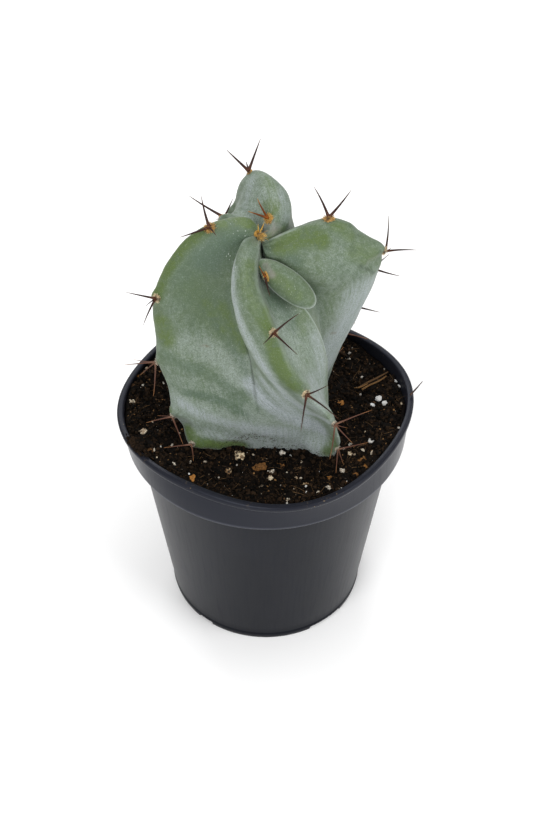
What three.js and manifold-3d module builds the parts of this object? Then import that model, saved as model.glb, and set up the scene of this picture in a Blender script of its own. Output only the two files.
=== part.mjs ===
// Potted gray ghost organ pipe cactus, in a black nursery pot filled with peat and perlite.
// Millimetres, +Z up. The origin is the centre of the pot's underside, on the surface it stands on.
// -Y is the front, +X is to the right.

import * as THREE from 'three';
import Module from 'manifold-3d';
import { mergeVertices } from 'three/addons/utils/BufferGeometryUtils.js';
import { LoftGeometry } from 'three/addons/geometries/LoftGeometry.js';

const wasm = await Module();
wasm.setup();

// Pot: driving dimensions
const POT_HEIGHT = 91;
const RIM_RADIUS = 51;
const LIP_WIDTH = 2.4;
const LIP_DEPTH = 1.7;
const COLLAR_HEIGHT = 12;
const COLLAR_TAPER = 0.8;
const COLLAR_OVERHANG = 4.2;
const FOOT_RADIUS = 36;
const FOOT_HEIGHT = 2.6;
const FOOT_WIDTH = 2.6;
const PAD_RADIUS = 14;
const POT_WALL = 1.2;
const POT_SIDES = 40;

// The rim of the pot is a rounded square: its corners bulge, and it is a little wider one way.
// The squareness fades out downwards over a depth just past the collar.
const SQUARE_DEPTH = 15;
const SQUARE_EASE = 1.5;
const RIM_SQUARENESS = 0.031;
const RIM_CORNER_DEG = 13.5;
const RIM_OVALNESS = 0.016;
const RIM_OVAL_DEG = 82;

// Drainage slots at the four low corners of the pot
const SLOT_WIDTH = 8;
const SLOT_HEIGHT = 4.6;
const SLOT_INNER_RADIUS = 26;
const SLOT_FIRST_DEG = 44;
const SLOT_OVERCUT = 3;

// Soil
const SOIL_LEVEL = 84.5;
const SOIL_CROWN = 1.6;
const CROWN_SPREAD = 30;
const BROAD_WAVE = 0.5;
const FINE_WAVE = 0.35;

// Clearance between neighbouring pieces
const GAP = 0.35;

// Stem: the mesh runs round the ribs in sections, from the buried end up to the growing point
const STEM_SECTIONS = 31;
const POINTS_PER_SPAN = 2;
const SPANS_PER_RIB = 6;

// A rib has its full thickness where it stands this high over a groove span this wide. Its
// shoulders lie below the crest by a part of the half thickness.
const FULL_RIB_HEIGHT = 9;
const FULL_RIB_SPAN = 14;
const SHOULDER_DROP = 0.75;

// Spine clusters
const WOOL_RADIUS = 1.7;
const WOOL_HEIGHT = 1.3;
const WOOL_SHOULDER = 0.8;
const SPINE_ROOT = 0.65;
const SPINE_RADIUS = 0.6;
const FULL_SPINE_LENGTH = 9;
const THINNEST_SPINE = 0.6;
const SPINE_TIP_RADIUS = 0.12;
const SPINE_SIDES = 4;
const CREST_ROUNDNESS = 0.85;
const WOOL_SIDES = 6;

const radians = THREE.MathUtils.degToRad;

function paint(name, geometry, material) {
  const mesh = new THREE.Mesh(geometry, material);
  mesh.name = name;
  return mesh;
}

// Closed geometry with its shared corners merged, as booleans need it
function welded(geometry) {
  const bare = new THREE.BufferGeometry().copy(geometry);
  bare.deleteAttribute('normal');
  bare.deleteAttribute('uv');
  return mergeVertices(bare, 1e-4);
}

function solid(geometry) {
  const bare = welded(geometry);
  return new wasm.Manifold(new wasm.Mesh({
    numProp: 3,
    vertProperties: new Float32Array(bare.attributes.position.array),
    triVerts: new Uint32Array(bare.index.array),
  }));
}

function geometryOf(body) {
  const mesh = body.getMesh();
  const geometry = new THREE.BufferGeometry();
  geometry.setAttribute('position', new THREE.BufferAttribute(new Float32Array(mesh.vertProperties), 3));
  geometry.setIndex(new THREE.BufferAttribute(new Uint32Array(mesh.triVerts), 1));
  geometry.computeVertexNormals();
  return geometry;
}

// The same shape grown outwards by a clearance, to cut a neighbour back with
function grown(geometry, clearance) {
  const bare = welded(geometry);
  bare.computeVertexNormals();
  const position = bare.attributes.position;
  const normal = bare.attributes.normal;
  for (let i = 0; i < position.count; i += 1) {
    position.setXYZ(
      i,
      position.getX(i) + normal.getX(i) * clearance,
      position.getY(i) + normal.getY(i) * clearance,
      position.getZ(i) + normal.getZ(i) * clearance,
    );
  }
  return bare;
}

function movePoints(geometry, move) {
  const position = geometry.attributes.position;
  const point = new THREE.Vector3();
  for (let i = 0; i < position.count; i += 1) {
    point.fromBufferAttribute(position, i);
    move(point);
    position.setXYZ(i, point.x, point.y, point.z);
  }
  return geometry;
}

// Turns a lathed shape from standing on Y to standing on Z
function lathed(profile, sides) {
  const points = profile.map(([radius, height]) => new THREE.Vector2(radius, height));
  return new THREE.LatheGeometry(points, sides).rotateX(Math.PI / 2);
}

// How square the pot is at a height: round below the collar, squarer and squarer up to the lip
function squareAt(height) {
  const up = (height - POT_HEIGHT + SQUARE_DEPTH) / SQUARE_DEPTH;
  return THREE.MathUtils.clamp(up, 0, 1) ** SQUARE_EASE;
}

function squared(geometry) {
  return movePoints(geometry, (point) => {
    const bearing = Math.atan2(point.x, -point.y);
    const corner = Math.cos(4 * (bearing - radians(RIM_CORNER_DEG)));
    const oval = Math.cos(2 * (bearing - radians(RIM_OVAL_DEG)));
    const stretch = 1 + squareAt(point.z) * (RIM_SQUARENESS * corner + RIM_OVALNESS * oval);
    point.x *= stretch;
    point.y *= stretch;
  });
}

// Pot

const collarFoot = POT_HEIGHT - COLLAR_HEIGHT;
const collarRadius = RIM_RADIUS - COLLAR_TAPER;
const shoulderRadius = collarRadius - COLLAR_OVERHANG;
const collarInside = collarRadius - POT_WALL - 0.2;
const shoulderInside = shoulderRadius - POT_WALL;
const footInside = FOOT_RADIUS - POT_WALL + 0.3;
const floorTop = FOOT_HEIGHT + POT_WALL;

const potOutside = [
  [0, 0],
  [PAD_RADIUS, 0],
  [PAD_RADIUS + 1.2, FOOT_HEIGHT],
  [FOOT_RADIUS - FOOT_WIDTH - 0.6, FOOT_HEIGHT],
  [FOOT_RADIUS - FOOT_WIDTH, 0],
  [FOOT_RADIUS - 0.4, 0],
  [FOOT_RADIUS, 0.5],
  [FOOT_RADIUS + 0.3, FOOT_HEIGHT],
  [FOOT_RADIUS, FOOT_HEIGHT + 0.5],
  [shoulderRadius, collarFoot - 2.4],
  [shoulderRadius + 0.7, collarFoot - 1],
  [collarRadius - 1.2, collarFoot - 0.5],
  [collarRadius - 0.1, collarFoot],
  [collarRadius, collarFoot + 0.7],
  [collarRadius - 0.3, collarFoot + 1.3],
  [RIM_RADIUS - 0.9, POT_HEIGHT - LIP_DEPTH - 1.2],
  [RIM_RADIUS - 0.5, POT_HEIGHT - LIP_DEPTH - 0.6],
  [RIM_RADIUS, POT_HEIGHT - LIP_DEPTH],
  [RIM_RADIUS, POT_HEIGHT - 0.5],
  [RIM_RADIUS - 0.5, POT_HEIGHT],
];

const potInside = [
  [RIM_RADIUS - LIP_WIDTH + 0.3, POT_HEIGHT],
  [RIM_RADIUS - LIP_WIDTH, POT_HEIGHT - 0.4],
  [RIM_RADIUS - LIP_WIDTH, POT_HEIGHT - LIP_DEPTH],
  [collarInside, SOIL_LEVEL],
  [collarInside, collarFoot + 1],
  [shoulderInside, collarFoot - 1],
  [footInside, floorTop],
  [PAD_RADIUS + 0.4, floorTop],
  [PAD_RADIUS - 0.8, POT_WALL],
  [0, POT_WALL],
];

function drainageSlot(bearingDeg) {
  const length = FOOT_RADIUS + SLOT_OVERCUT - SLOT_INNER_RADIUS;
  const slot = new THREE.BoxGeometry(SLOT_WIDTH, length, SLOT_HEIGHT + SLOT_OVERCUT);
  slot.translate(0, -SLOT_INNER_RADIUS - length / 2, (SLOT_HEIGHT - SLOT_OVERCUT) / 2);
  return slot.rotateZ(radians(bearingDeg));
}

function nurseryPot() {
  let body = solid(squared(lathed([...potOutside, ...potInside], POT_SIDES)));
  for (let corner = 0; corner < 4; corner += 1) {
    body = body.subtract(solid(drainageSlot(SLOT_FIRST_DEG + corner * 90)));
  }
  return geometryOf(body);
}

// Stem

// Each rib is the line of its crest, from beside the growing point, out over the shoulder and
// down to the buried end. left and right are the crest's half thicknesses on either side, at the
// top and at the buried end.
const ribs = [
  {
    name: 'left',
    left: [4, 4],
    right: [4, 4],
    crest: [
      [-3.5, 1, 166], [-9, 2, 169.5], [-17.5, 0, 170], [-26.5, -2, 165], [-34.5, -4, 152.5],
      [-37.5, -6, 142], [-37, -8, 130], [-36.5, -10, 119.5], [-33.5, -12, 109.5], [-32, -14, 97],
      [-27, -15, 89], [-24, -13, 76],
    ],
  },
  {
    name: 'front',
    left: [8.5, 2.5],
    right: [3.5, 3.5],
    crest: [
      [-2.5, -3, 166.5], [-4.5, -9, 169], [-6.5, -17, 168.5], [-6.5, -23, 164.5], [-4, -27, 158.5],
      [2, -29.5, 150.5], [4, -30.5, 142.5], [7, -30.5, 133.5], [13, -30, 123.5], [22.5, -27, 106.5],
      [24, -23.5, 91], [19, -20, 75],
    ],
  },
  {
    name: 'young',
    left: [3, 3],
    right: [3, 3],
    crest: [
      [0.5, -3.5, 163], [3, -8.5, 161.5], [6, -12.5, 159], [10, -16, 156], [14.5, -18.5, 150],
      [18, -16, 137], [20.5, -14.5, 125], [21.5, -13, 115], [22, -12, 107], [22.5, -11, 98],
      [23, -9, 87], [19, -7, 75],
    ],
  },
  {
    name: 'right',
    left: [4.5, 4.5],
    right: [4.5, 4.5],
    crest: [
      [1.5, -1.5, 165], [6.5, 1.5, 164.5], [14.5, 5, 165.5], [22.5, 6, 166.5], [30.5, 5, 163],
      [38, 4, 156], [37, 7, 143], [32.5, 9, 127], [27.5, 10, 111.5], [23.5, 9, 98],
      [21, 8, 87], [17, 6, 75],
    ],
  },
  {
    name: 'back',
    left: [5, 5],
    right: [5.5, 5],
    crest: [
      [1, 3, 165.5], [3, 7, 169.5], [2, 12, 174], [0, 17, 177], [-3, 22.5, 175.5],
      [-5, 28, 168], [-7, 31.5, 155], [-9.5, 32, 140], [-11, 31, 125], [-12, 29, 108],
      [-12, 26, 88], [-10, 20, 75],
    ],
  },
  {
    name: 'rear_left',
    left: [4, 4],
    right: [4, 4],
    crest: [
      [-2, 2.5, 165], [-6, 6.5, 165.5], [-11.5, 11.5, 163.5], [-17, 15.5, 155.5], [-21.5, 19, 146.5],
      [-25, 20.5, 138], [-27, 21, 128], [-28, 20.5, 118], [-27.5, 19, 108], [-26, 17, 98],
      [-23, 14, 87], [-18, 11, 75],
    ],
  },
];

// Each groove lies before the rib of the same place in the list above
const grooves = [
  [
    [-3.5, 2, 163.5], [-8, 4.5, 161.5], [-13, 7, 156], [-16, 8, 149], [-17.5, 8, 141],
    [-18, 7.5, 133], [-18.5, 7, 125], [-19, 7, 116], [-19.5, 6.5, 107], [-19.5, 6, 98],
    [-19, 5, 87], [-16, 4, 75],
  ],
  [
    [-3, -1.5, 163.5], [-5, -5, 162], [-6.5, -8.5, 158], [-7, -11, 152], [-7, -13, 145],
    [-7, -14.5, 137], [-6, -15.5, 130], [-5, -17, 122], [-4, -18.5, 113], [-2.5, -20, 101],
    [-1.5, -19, 88], [-1, -16, 75],
  ],
  [
    [0, -3.5, 163], [1, -7, 160.5], [1.5, -11, 157], [3, -14, 152.5], [6, -17, 147],
    [9, -19, 141], [12, -20, 133], [15, -21, 125], [18, -21, 116], [22, -19, 103],
    [23.5, -16, 88], [20, -13, 75],
  ],
  [
    [1.5, -2.5, 162.5], [4.5, -5.5, 160], [8.5, -8.5, 156.5], [13, -10, 151], [15.5, -9, 145],
    [17, -7, 137], [18, -5, 127], [19, -3, 117], [19.5, -2, 107], [20, -1, 98],
    [20, 0, 87], [17, 0, 75],
  ],
  [
    [2.5, 1.5, 163], [6, 6, 161], [9, 11, 157], [11, 15, 151], [12, 17, 143],
    [12.5, 18, 135], [12.5, 18.5, 126], [12.5, 18.5, 117], [12.5, 18, 107], [12.5, 17.5, 98],
    [12, 17, 87], [10, 14, 75],
  ],
  [
    [-1, 3.5, 163.5], [-4, 8.5, 163], [-8.5, 14, 160], [-12, 18, 153.5], [-14.5, 20.5, 145],
    [-16, 22, 136], [-17, 22.5, 127], [-17.5, 22.5, 117], [-17.5, 22, 107], [-17.5, 21, 98],
    [-17, 20, 87], [-14, 15, 75],
  ],
];

const curveThrough = (points) => new THREE.CatmullRomCurve3(
  points.map((point) => new THREE.Vector3(...point)),
  false,
  'centripetal',
);

const ribCurves = ribs.map((rib) => curveThrough(rib.crest));
const grooveCurves = grooves.map(curveThrough);

// A rib's crest point, the direction it stands out in and the direction across it, at a station
// from 0 beside the growing point to 1 at the buried end
function ribFrame(index, station) {
  const crest = ribCurves[index].getPoint(station);
  const before = grooveCurves[index].getPoint(station);
  const after = grooveCurves[(index + 1) % grooves.length].getPoint(station);
  const root = before.clone().add(after).multiplyScalar(0.5);
  const out = crest.clone().sub(root);
  const height = out.length();
  out.normalize();
  const across = after.clone().sub(before);
  const span = across.length();
  across.addScaledVector(out, -across.dot(out)).normalize();
  return { crest, before, after, out, across, height, span };
}

// One section round the stem: groove, flank, shoulder, crest, shoulder, flank of each rib in turn
function stemSection(station) {
  const outline = [];
  for (let index = 0; index < ribs.length; index += 1) {
    const { crest, before, after, out, across, height, span } = ribFrame(index, station);
    const room = Math.min(1, height / FULL_RIB_HEIGHT, span / FULL_RIB_SPAN);
    const left = THREE.MathUtils.lerp(...ribs[index].left, station) * room;
    const right = THREE.MathUtils.lerp(...ribs[index].right, station) * room;
    const leftShoulder = crest.clone().addScaledVector(out, -SHOULDER_DROP * left);
    leftShoulder.addScaledVector(across, -left);
    const rightShoulder = crest.clone().addScaledVector(out, -SHOULDER_DROP * right);
    rightShoulder.addScaledVector(across, right);
    outline.push(
      before,
      before.clone().lerp(leftShoulder, 0.5),
      leftShoulder,
      crest,
      rightShoulder,
      after.clone().lerp(rightShoulder, 0.5),
    );
  }
  const ring = new THREE.CatmullRomCurve3(outline, true, 'centripetal');
  const count = ribs.length * SPANS_PER_RIB * POINTS_PER_SPAN;
  return Array.from({ length: count }, (_, i) => ring.getPoint(i / count));
}

// The youngest tubercle of the young rib: an oval bean that lies over the groove beside the crown
const BEAN_CENTRE = [6.8, -15, 158.7];
const BEAN_AXIS = [16, -10, -8];
const BEAN_HALF_SIZE = [11.2, 4.7, 4.9];

function bean() {
  const shape = new THREE.SphereGeometry(1, 18, 10).rotateZ(-Math.PI / 2);
  shape.scale(...BEAN_HALF_SIZE);
  const turn = new THREE.Quaternion().setFromUnitVectors(
    new THREE.Vector3(1, 0, 0),
    new THREE.Vector3(...BEAN_AXIS).normalize(),
  );
  shape.applyQuaternion(turn);
  return shape.translate(...BEAN_CENTRE);
}

function ribbedStem() {
  const sections = [];
  for (let i = 0; i < STEM_SECTIONS; i += 1) {
    sections.push(stemSection(1 - i / (STEM_SECTIONS - 1)));
  }
  return new LoftGeometry(sections, { capStart: true, capEnd: true });
}

// Spine clusters

// A cluster sits on a rib's crest at a place counted in crest points, and each spine is the step
// in millimetres from the cluster to that spine's tip. Clusters are numbered down each rib.
const clusterRibs = [
  {
    rib: 0,
    clusters: [
      { place: 2, spines: [[-2.5, 6, 8], [-9.5, -4, -1], [2.5, -7, 2]] },
      { place: 5, spines: [[-10, 1.5, 1.5], [-3, -5.5, 1.5], [-4, -8, -5]] },
      { place: 7, spines: [[-8, 1.5, 0], [-11, -1.5, 0], [-5, -6, -0.5], [-0.5, -10.5, -6]] },
      { place: 9, spines: [[-9, -3, 0], [4, -9.5, -4], [-5.5, 3, -2.5]] },
      { place: 10.1, spines: [[-9.5, -3, 1.5], [1, -9, 1]] },
    ],
  },
  {
    rib: 1,
    clusters: [
      { place: 0.1, spines: [[2, 1.5, 4], [0, 0, 4.5]] },
      { place: 5, spines: [[8, 1.5, 7], [-3.5, -7, 1.5], [7.5, -8, -2]] },
      { place: 8, spines: [[7, 0, 4.5], [-2, -10.5, -6.5], [10.5, -8, -3.5]] },
      { place: 9, spines: [[12.5, 2, 5], [4, -5, 3.5], [6, -6.5, -2.5], [-2, -12.5, -4]] },
      { place: 10, spines: [[10.5, 0.5, 3], [-1, -10, -1.5], [1.5, -8.5, 1.5]] },
    ],
  },
  {
    rib: 3,
    clusters: [
      { place: 2.75, spines: [[-5, 7, 7.5], [7.5, 6.5, 6.5], [2, 6.5, -2]] },
      { place: 5, spines: [[1, 8.5, 8.5], [10.5, 0, 0.5], [2.5, 5.5, -3]] },
      { place: 6, turn: 45, spines: [[6, 6, 1.5], [9.5, -0.5, -3], [2, 7, -5]] },
      { place: 7.2, turn: 50, spines: [[9.5, 0.5, -3.5], [3, 7, -4.5], [3, 7, 3]] },
      { place: 8, turn: 50, spines: [[6, 7, -2], [10.5, 0.5, -4]] },
      { place: 9, turn: 50, spines: [[6, 6, 2], [3, 8, -4]] },
    ],
  },
  {
    rib: 4,
    clusters: [
      { place: 0.6, spines: [[-3.5, 1.5, 7], [-6.5, -1.5, 4]] },
      { place: 4, turn: 30, spines: [[-7.5, 4.5, 5.5], [4, 6.5, 8.5], [-1, 8, -2]] },
      { place: 6, spines: [[-3, 9, -2], [6, 8, 3], [0, 9, -6]] },
      { place: 7.3, spines: [[-8, 6, 1], [5, 8, 3], [-2, 8, -7]] },
      { place: 8.5, spines: [[-8, 6, 1], [6, 7, 2], [-1, 8, -5]] },
      { place: 9.5, spines: [[-7, 7, 2], [7, 6, 1]] },
    ],
  },
  {
    rib: 5,
    clusters: [
      { place: 2.3, spines: [[-12, 6, 4.5], [3, 6, 3.5], [-3, 5, -5]] },
      { place: 4.5, spines: [[-6, 4, -2], [-4, 9, -1], [-7, 4, -7]] },
      { place: 6.3, spines: [[-9, 3, 3], [-4, 9, 0], [-7, 5, -7]] },
      { place: 8, spines: [[-9, 2, 2], [-4, 9, -2], [-7, 5, -6]] },
      { place: 9.4, spines: [[-9, 1, 1], [-5, 8, 0]] },
    ],
  },
];

// The bean's own cluster, on its upper left end: where it sits and the way its wool faces
const BEAN_CLUSTER = {
  at: [0.2, -14.6, 162.2],
  out: [-0.35, -0.6, 0.72],
  spines: [[-2, -0.5, 5], [1.5, -6, -3]],
};

const upwards = new THREE.Vector3(0, 0, 1);
const sideways = new THREE.Vector3(0, 1, 0);

// A tapered spine from the origin to its tip
function spine(tip) {
  const step = new THREE.Vector3(...tip);
  const length = step.length();
  const radius = SPINE_RADIUS * THREE.MathUtils.clamp(length / FULL_SPINE_LENGTH, THINNEST_SPINE, 1);
  const shape = new THREE.CylinderGeometry(SPINE_TIP_RADIUS, radius, length, SPINE_SIDES);
  shape.translate(0, length / 2, 0);
  return shape.applyQuaternion(new THREE.Quaternion().setFromUnitVectors(sideways, step.normalize()));
}

// A felted cushion of wool standing off the crest, with its spines rising from its middle
function spineCluster(at, out, spines, stemRoom) {
  const cushion = lathed([
    [0, 0],
    [WOOL_RADIUS, 0],
    [WOOL_RADIUS * WOOL_SHOULDER, WOOL_HEIGHT * WOOL_SHOULDER],
    [0, WOOL_HEIGHT],
  ], WOOL_SIDES);
  cushion.applyQuaternion(new THREE.Quaternion().setFromUnitVectors(upwards, out));
  let body = solid(cushion);
  const middle = out.clone().multiplyScalar(WOOL_HEIGHT * SPINE_ROOT);
  for (const tip of spines) {
    body = body.add(solid(spine(tip).translate(middle.x, middle.y, middle.z)));
  }
  return body.translate([at.x, at.y, at.z]).subtract(stemRoom);
}

// Where a cluster sits: on the crest, or turned round it towards the next rib by an angle
function clusterSeat(rib, place, turnDeg) {
  const station = place / (ribs[rib].crest.length - 1);
  const { crest, out, across } = ribFrame(rib, station);
  const along = ribCurves[rib].getTangent(station);
  const up = out.clone().addScaledVector(along, -out.dot(along)).normalize();
  const hinge = up.clone().cross(across).normalize();
  const facing = up.clone().applyAxisAngle(hinge, radians(turnDeg));
  const radius = ribs[rib].right[0] * CREST_ROUNDNESS;
  const at = crest.clone().addScaledVector(up, -radius).addScaledVector(facing, radius);
  return { at, out: facing };
}

function ribClusters() {
  const clusters = [];
  for (const { rib, clusters: list } of clusterRibs) {
    list.forEach(({ place, turn = 0, spines }, order) => {
      const name = `spines_${ribs[rib].name}_${order + 1}`;
      clusters.push({ name, ...clusterSeat(rib, place, turn), spines });
    });
  }
  clusters.push({
    name: 'spines_young_1',
    at: new THREE.Vector3(...BEAN_CLUSTER.at),
    out: new THREE.Vector3(...BEAN_CLUSTER.out).normalize(),
    spines: BEAN_CLUSTER.spines,
  });
  return clusters;
}

// Loose pieces on the soil

// Perlite grains: x, y and size
const perlite = [
  [-9, -24.5, 4.4], [-12, -29.5, 2.6], [6, -25, 2.7], [14, -36, 2.6], [21.5, -37, 2.3], [40, 6, 3.1],
  [43, 3, 2.5], [36.5, 1.5, 2.4], [37, -15, 2.4], [36.5, -20.5, 2.1], [-43, -10, 3], [29.5, -21, 2],
  [2.5, -33, 2.2], [26.5, -29, 2.4],
];
const PERLITE_SQUASH = 0.78;
const PERLITE_KNOBS = 0.09;
const PERLITE_LIFT = 0.25;

// Bark: x, y, length, width, height and turn in degrees
const bark = [
  [-2, -29, 6, 4, 2.2, 15],
  [5.5, -29, 3.2, 2.4, 1.8, -30],
  [30, -33, 2.6, 2, 1.6, 40],
];
const BARK_KNOBS = 0.12;
const BARK_LIFT = 0.2;

// Twigs and fallen spines: two ends, and thickness at each
const TWIG_ENDS = [[33.5, 11, 86.6], [44, 18, 86.4]];
const TWIG_RADII = [0.9, 0.7];
const STICK_SIDES = 7;
const FALLEN_SPINE_ENDS = [[48.5, 0.5, POT_HEIGHT + 1], [56, 8, POT_HEIGHT + 1.2]];
const FALLEN_SPINE_RADII = [0.55, 0.15];

// Rolling of the soil's surface above its even level
function soilRise(x, y) {
  const crown = SOIL_CROWN * Math.exp(-(x * x + y * y) / CROWN_SPREAD ** 2);
  const broad = BROAD_WAVE * Math.sin(x * 0.21 + 1) * Math.cos(y * 0.17);
  const fine = FINE_WAVE * Math.sin(x * 0.43 - y * 0.38);
  return crown + broad + fine;
}

const soilHeight = (x, y) => SOIL_LEVEL + soilRise(x, y);

// A grain with a knobbly surface, the same one each time for the same order number
function grain([x, y, size], order) {
  const shape = welded(new THREE.DodecahedronGeometry(size / 2));
  movePoints(shape, (point) => {
    const around = Math.sin(point.x * 2.3 + order) * Math.cos(point.y * 2.9 + order * 2);
    point.multiplyScalar(1 + PERLITE_KNOBS * (around + Math.sin(point.z * 3.1)));
    point.z *= PERLITE_SQUASH;
  });
  shape.rotateZ(order);
  return shape.translate(x, y, soilHeight(x, y) + size * PERLITE_LIFT);
}

function barkChip([x, y, length, width, height, turnDeg], order) {
  const shape = welded(new THREE.DodecahedronGeometry(0.5));
  movePoints(shape, (point) => {
    point.multiplyScalar(1 + BARK_KNOBS * Math.sin(point.x * 9 + order) * Math.sin(point.y * 7));
  });
  shape.scale(length, width, height);
  shape.rotateZ(radians(turnDeg));
  return shape.translate(x, y, soilHeight(x, y) + height * BARK_LIFT);
}

function stick([from, to], [fromRadius, toRadius]) {
  const start = new THREE.Vector3(...from);
  const step = new THREE.Vector3(...to).sub(start);
  const length = step.length();
  const shape = new THREE.CylinderGeometry(toRadius, fromRadius, length, STICK_SIDES);
  shape.translate(0, length / 2, 0);
  shape.applyQuaternion(new THREE.Quaternion().setFromUnitVectors(sideways, step.normalize()));
  return shape.translate(start.x, start.y, start.z);
}

// Soil

const TOP_RINGS = [45, 37, 29, 20, 10];
const SURFACE_BAND = 0.01;

function soilBlock() {
  const wallTop = collarInside - GAP;
  const profile = [
    [0, POT_WALL + GAP],
    [PAD_RADIUS - 0.8 - GAP, POT_WALL + GAP],
    [PAD_RADIUS + 0.4 - GAP, floorTop + GAP],
    [footInside - GAP, floorTop + GAP],
    [shoulderInside - GAP, collarFoot - 1],
    [wallTop, collarFoot + 1 + GAP],
    [wallTop, SOIL_LEVEL],
    ...TOP_RINGS.map((radius) => [radius, SOIL_LEVEL]),
    [0, SOIL_LEVEL],
  ];
  return movePoints(squared(lathed(profile, POT_SIDES)), (point) => {
    if (point.z > SOIL_LEVEL - SURFACE_BAND) {
      point.z += soilRise(point.x, point.y);
    }
  });
}

const material = (color, roughness) => new THREE.MeshStandardMaterial({ color, roughness, metalness: 0 });
const stemMaterial = material(0x8fa592, 0.65);
const potMaterial = material(0x2b2d30, 0.45);
const soilMaterial = material(0x2e2019, 0.95);
const spineMaterial = material(0x6b4130, 0.6);
const perliteMaterial = material(0xe6e0d2, 0.9);
const barkMaterial = material(0x7a5230, 0.85);

const stem = geometryOf(solid(ribbedStem()).add(solid(bean())));
const stemRoom = solid(grown(stem, GAP));
const grains = perlite.map(grain);
const chips = bark.map(barkChip);
const twig = stick(TWIG_ENDS, TWIG_RADII);

let soil = solid(soilBlock()).subtract(stemRoom);
for (const piece of [...grains, ...chips, twig]) {
  soil = soil.subtract(solid(grown(piece, GAP)));
}

const plant = new THREE.Group();
plant.add(paint('nursery_pot', nurseryPot(), potMaterial));
plant.add(paint('potting_soil', geometryOf(soil), soilMaterial));
plant.add(paint('cactus_stem', stem, stemMaterial));
for (const { name, at, out, spines } of ribClusters()) {
  plant.add(paint(name, geometryOf(spineCluster(at, out, spines, stemRoom)), spineMaterial));
}
grains.forEach((shape, i) => plant.add(paint(`perlite_${i + 1}`, shape, perliteMaterial)));
chips.forEach((shape, i) => plant.add(paint(`bark_chip_${i + 1}`, shape, barkMaterial)));
plant.add(paint('twig', twig, barkMaterial));
plant.add(paint('fallen_spine', stick(FALLEN_SPINE_ENDS, FALLEN_SPINE_RADII), spineMaterial));

export default plant;
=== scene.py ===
# Potted gray ghost organ pipe cactus: its looks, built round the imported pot, soil, stem and spines.
# Metres, +Z up. The origin is under the middle of the pot, and -Y is the front.

import math
import random

import bmesh
import bpy
import numpy as np
from mathutils import Matrix, Quaternion, Vector, noise
from mathutils.bvhtree import BVHTree


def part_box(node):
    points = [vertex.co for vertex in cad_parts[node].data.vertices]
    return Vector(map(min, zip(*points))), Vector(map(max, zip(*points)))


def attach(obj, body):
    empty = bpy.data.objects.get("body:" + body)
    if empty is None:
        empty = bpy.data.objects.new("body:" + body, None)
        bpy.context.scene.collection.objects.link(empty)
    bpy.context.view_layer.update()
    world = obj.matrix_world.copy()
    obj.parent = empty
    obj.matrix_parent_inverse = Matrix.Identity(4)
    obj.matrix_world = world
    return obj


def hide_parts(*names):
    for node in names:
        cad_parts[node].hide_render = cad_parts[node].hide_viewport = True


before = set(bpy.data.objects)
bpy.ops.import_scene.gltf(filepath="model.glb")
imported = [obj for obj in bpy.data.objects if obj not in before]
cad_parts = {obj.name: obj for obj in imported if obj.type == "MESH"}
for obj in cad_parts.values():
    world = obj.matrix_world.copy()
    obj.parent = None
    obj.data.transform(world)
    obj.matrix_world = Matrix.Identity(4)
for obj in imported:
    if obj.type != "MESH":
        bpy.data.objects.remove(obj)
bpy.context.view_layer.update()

MM = 0.001
TURN = 2 * math.pi

# Camera: where it stands, how far down it looks, and the size of the picture in pixels
CAMERA_PLACE = Vector((0.2, -416.6, 504.2)) * MM
CAMERA_DOWN = math.radians(45.17)
LENS = 72.19
SENSOR = 36
PICTURE_WIDTH = 533
PICTURE_HEIGHT = 824
FOCAL_PIXELS = LENS / SENSOR * PICTURE_HEIGHT

# Lamps, each with its place, its size and its watts, and where they aim, in metres
SOFTBOXES = {
    "key": ((-0.8, -1.5, 1.4), (1.2, 1.2), 26),
    "fill": ((1.4, -0.8, 1.15), (1.2, 1.2), 18),
    "top": ((0.1, 0.1, 2.0), (1.0, 1.0), 9),
    "back": ((-0.4, 1.7, 1.3), (1.4, 1.0), 16),
}
LIGHT_TARGET = Vector((0, 0, 0.1))
WORLD_STRENGTH = 0.46
FLOOR_HALF_SIZE = 3

# Pot, in millimetres
POT_HEIGHT = 91
RIM_RADIUS = 51
COLLAR_HEIGHT = 12
FOOT_RADIUS = 36
POT_WALL = 1.2
SQUARE_DEPTH = 15
RIM_SQUARENESS = 0.031
RIM_CORNER = math.radians(13.5)
RIM_OVALNESS = 0.016
RIM_OVAL = math.radians(82)
POT_STEPS = 240
POT_WALL_RINGS = 23
POT_SHARP_ANGLE = math.radians(40)

# Drainage slots: each one's bearing in degrees and its width
SLOT_TOP = 4.6
SLOT_NOTCH_TOP = 1.7
SLOT_INNER_RADIUS = 26
SLOT_OUTER_RADIUS = 34.4
SLOT_ROUNDING = 0.6
SLOTS = [(-39.5, 6.5), (39.5, 15), (131, 8), (229, 8)]

# Soil, in millimetres: heaped up between two radii, but for a hollow, and spilt over the lip
SOIL_LEVEL = 84.5
SOIL_RADIUS = 48.4
SOIL_REACH = 47.6
RIM_SPARE = 1.04
SOIL_STEPS = 320
SOIL_RINGS = 72
SOIL_CROWN = 1.6
SOIL_CROWN_RADIUS = 30
HEAP = 4.3
HEAP_START = 33
HEAP_END = 47
HOLLOW = math.radians(30)
HOLLOW_WIDTH = 0.5
HOLLOW_SHARE = 0.7
SPILL = (math.radians(201), math.radians(213))
SPILL_START = 47.4
SPILL_REACH = 3.2
SPILL_PEAK = 49
SPILL_SPREAD = 3
SPILL_HEIGHT = 0.8
CLEAR_OF_STEM = 0.4
LOOSE_SHARE = 1

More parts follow.
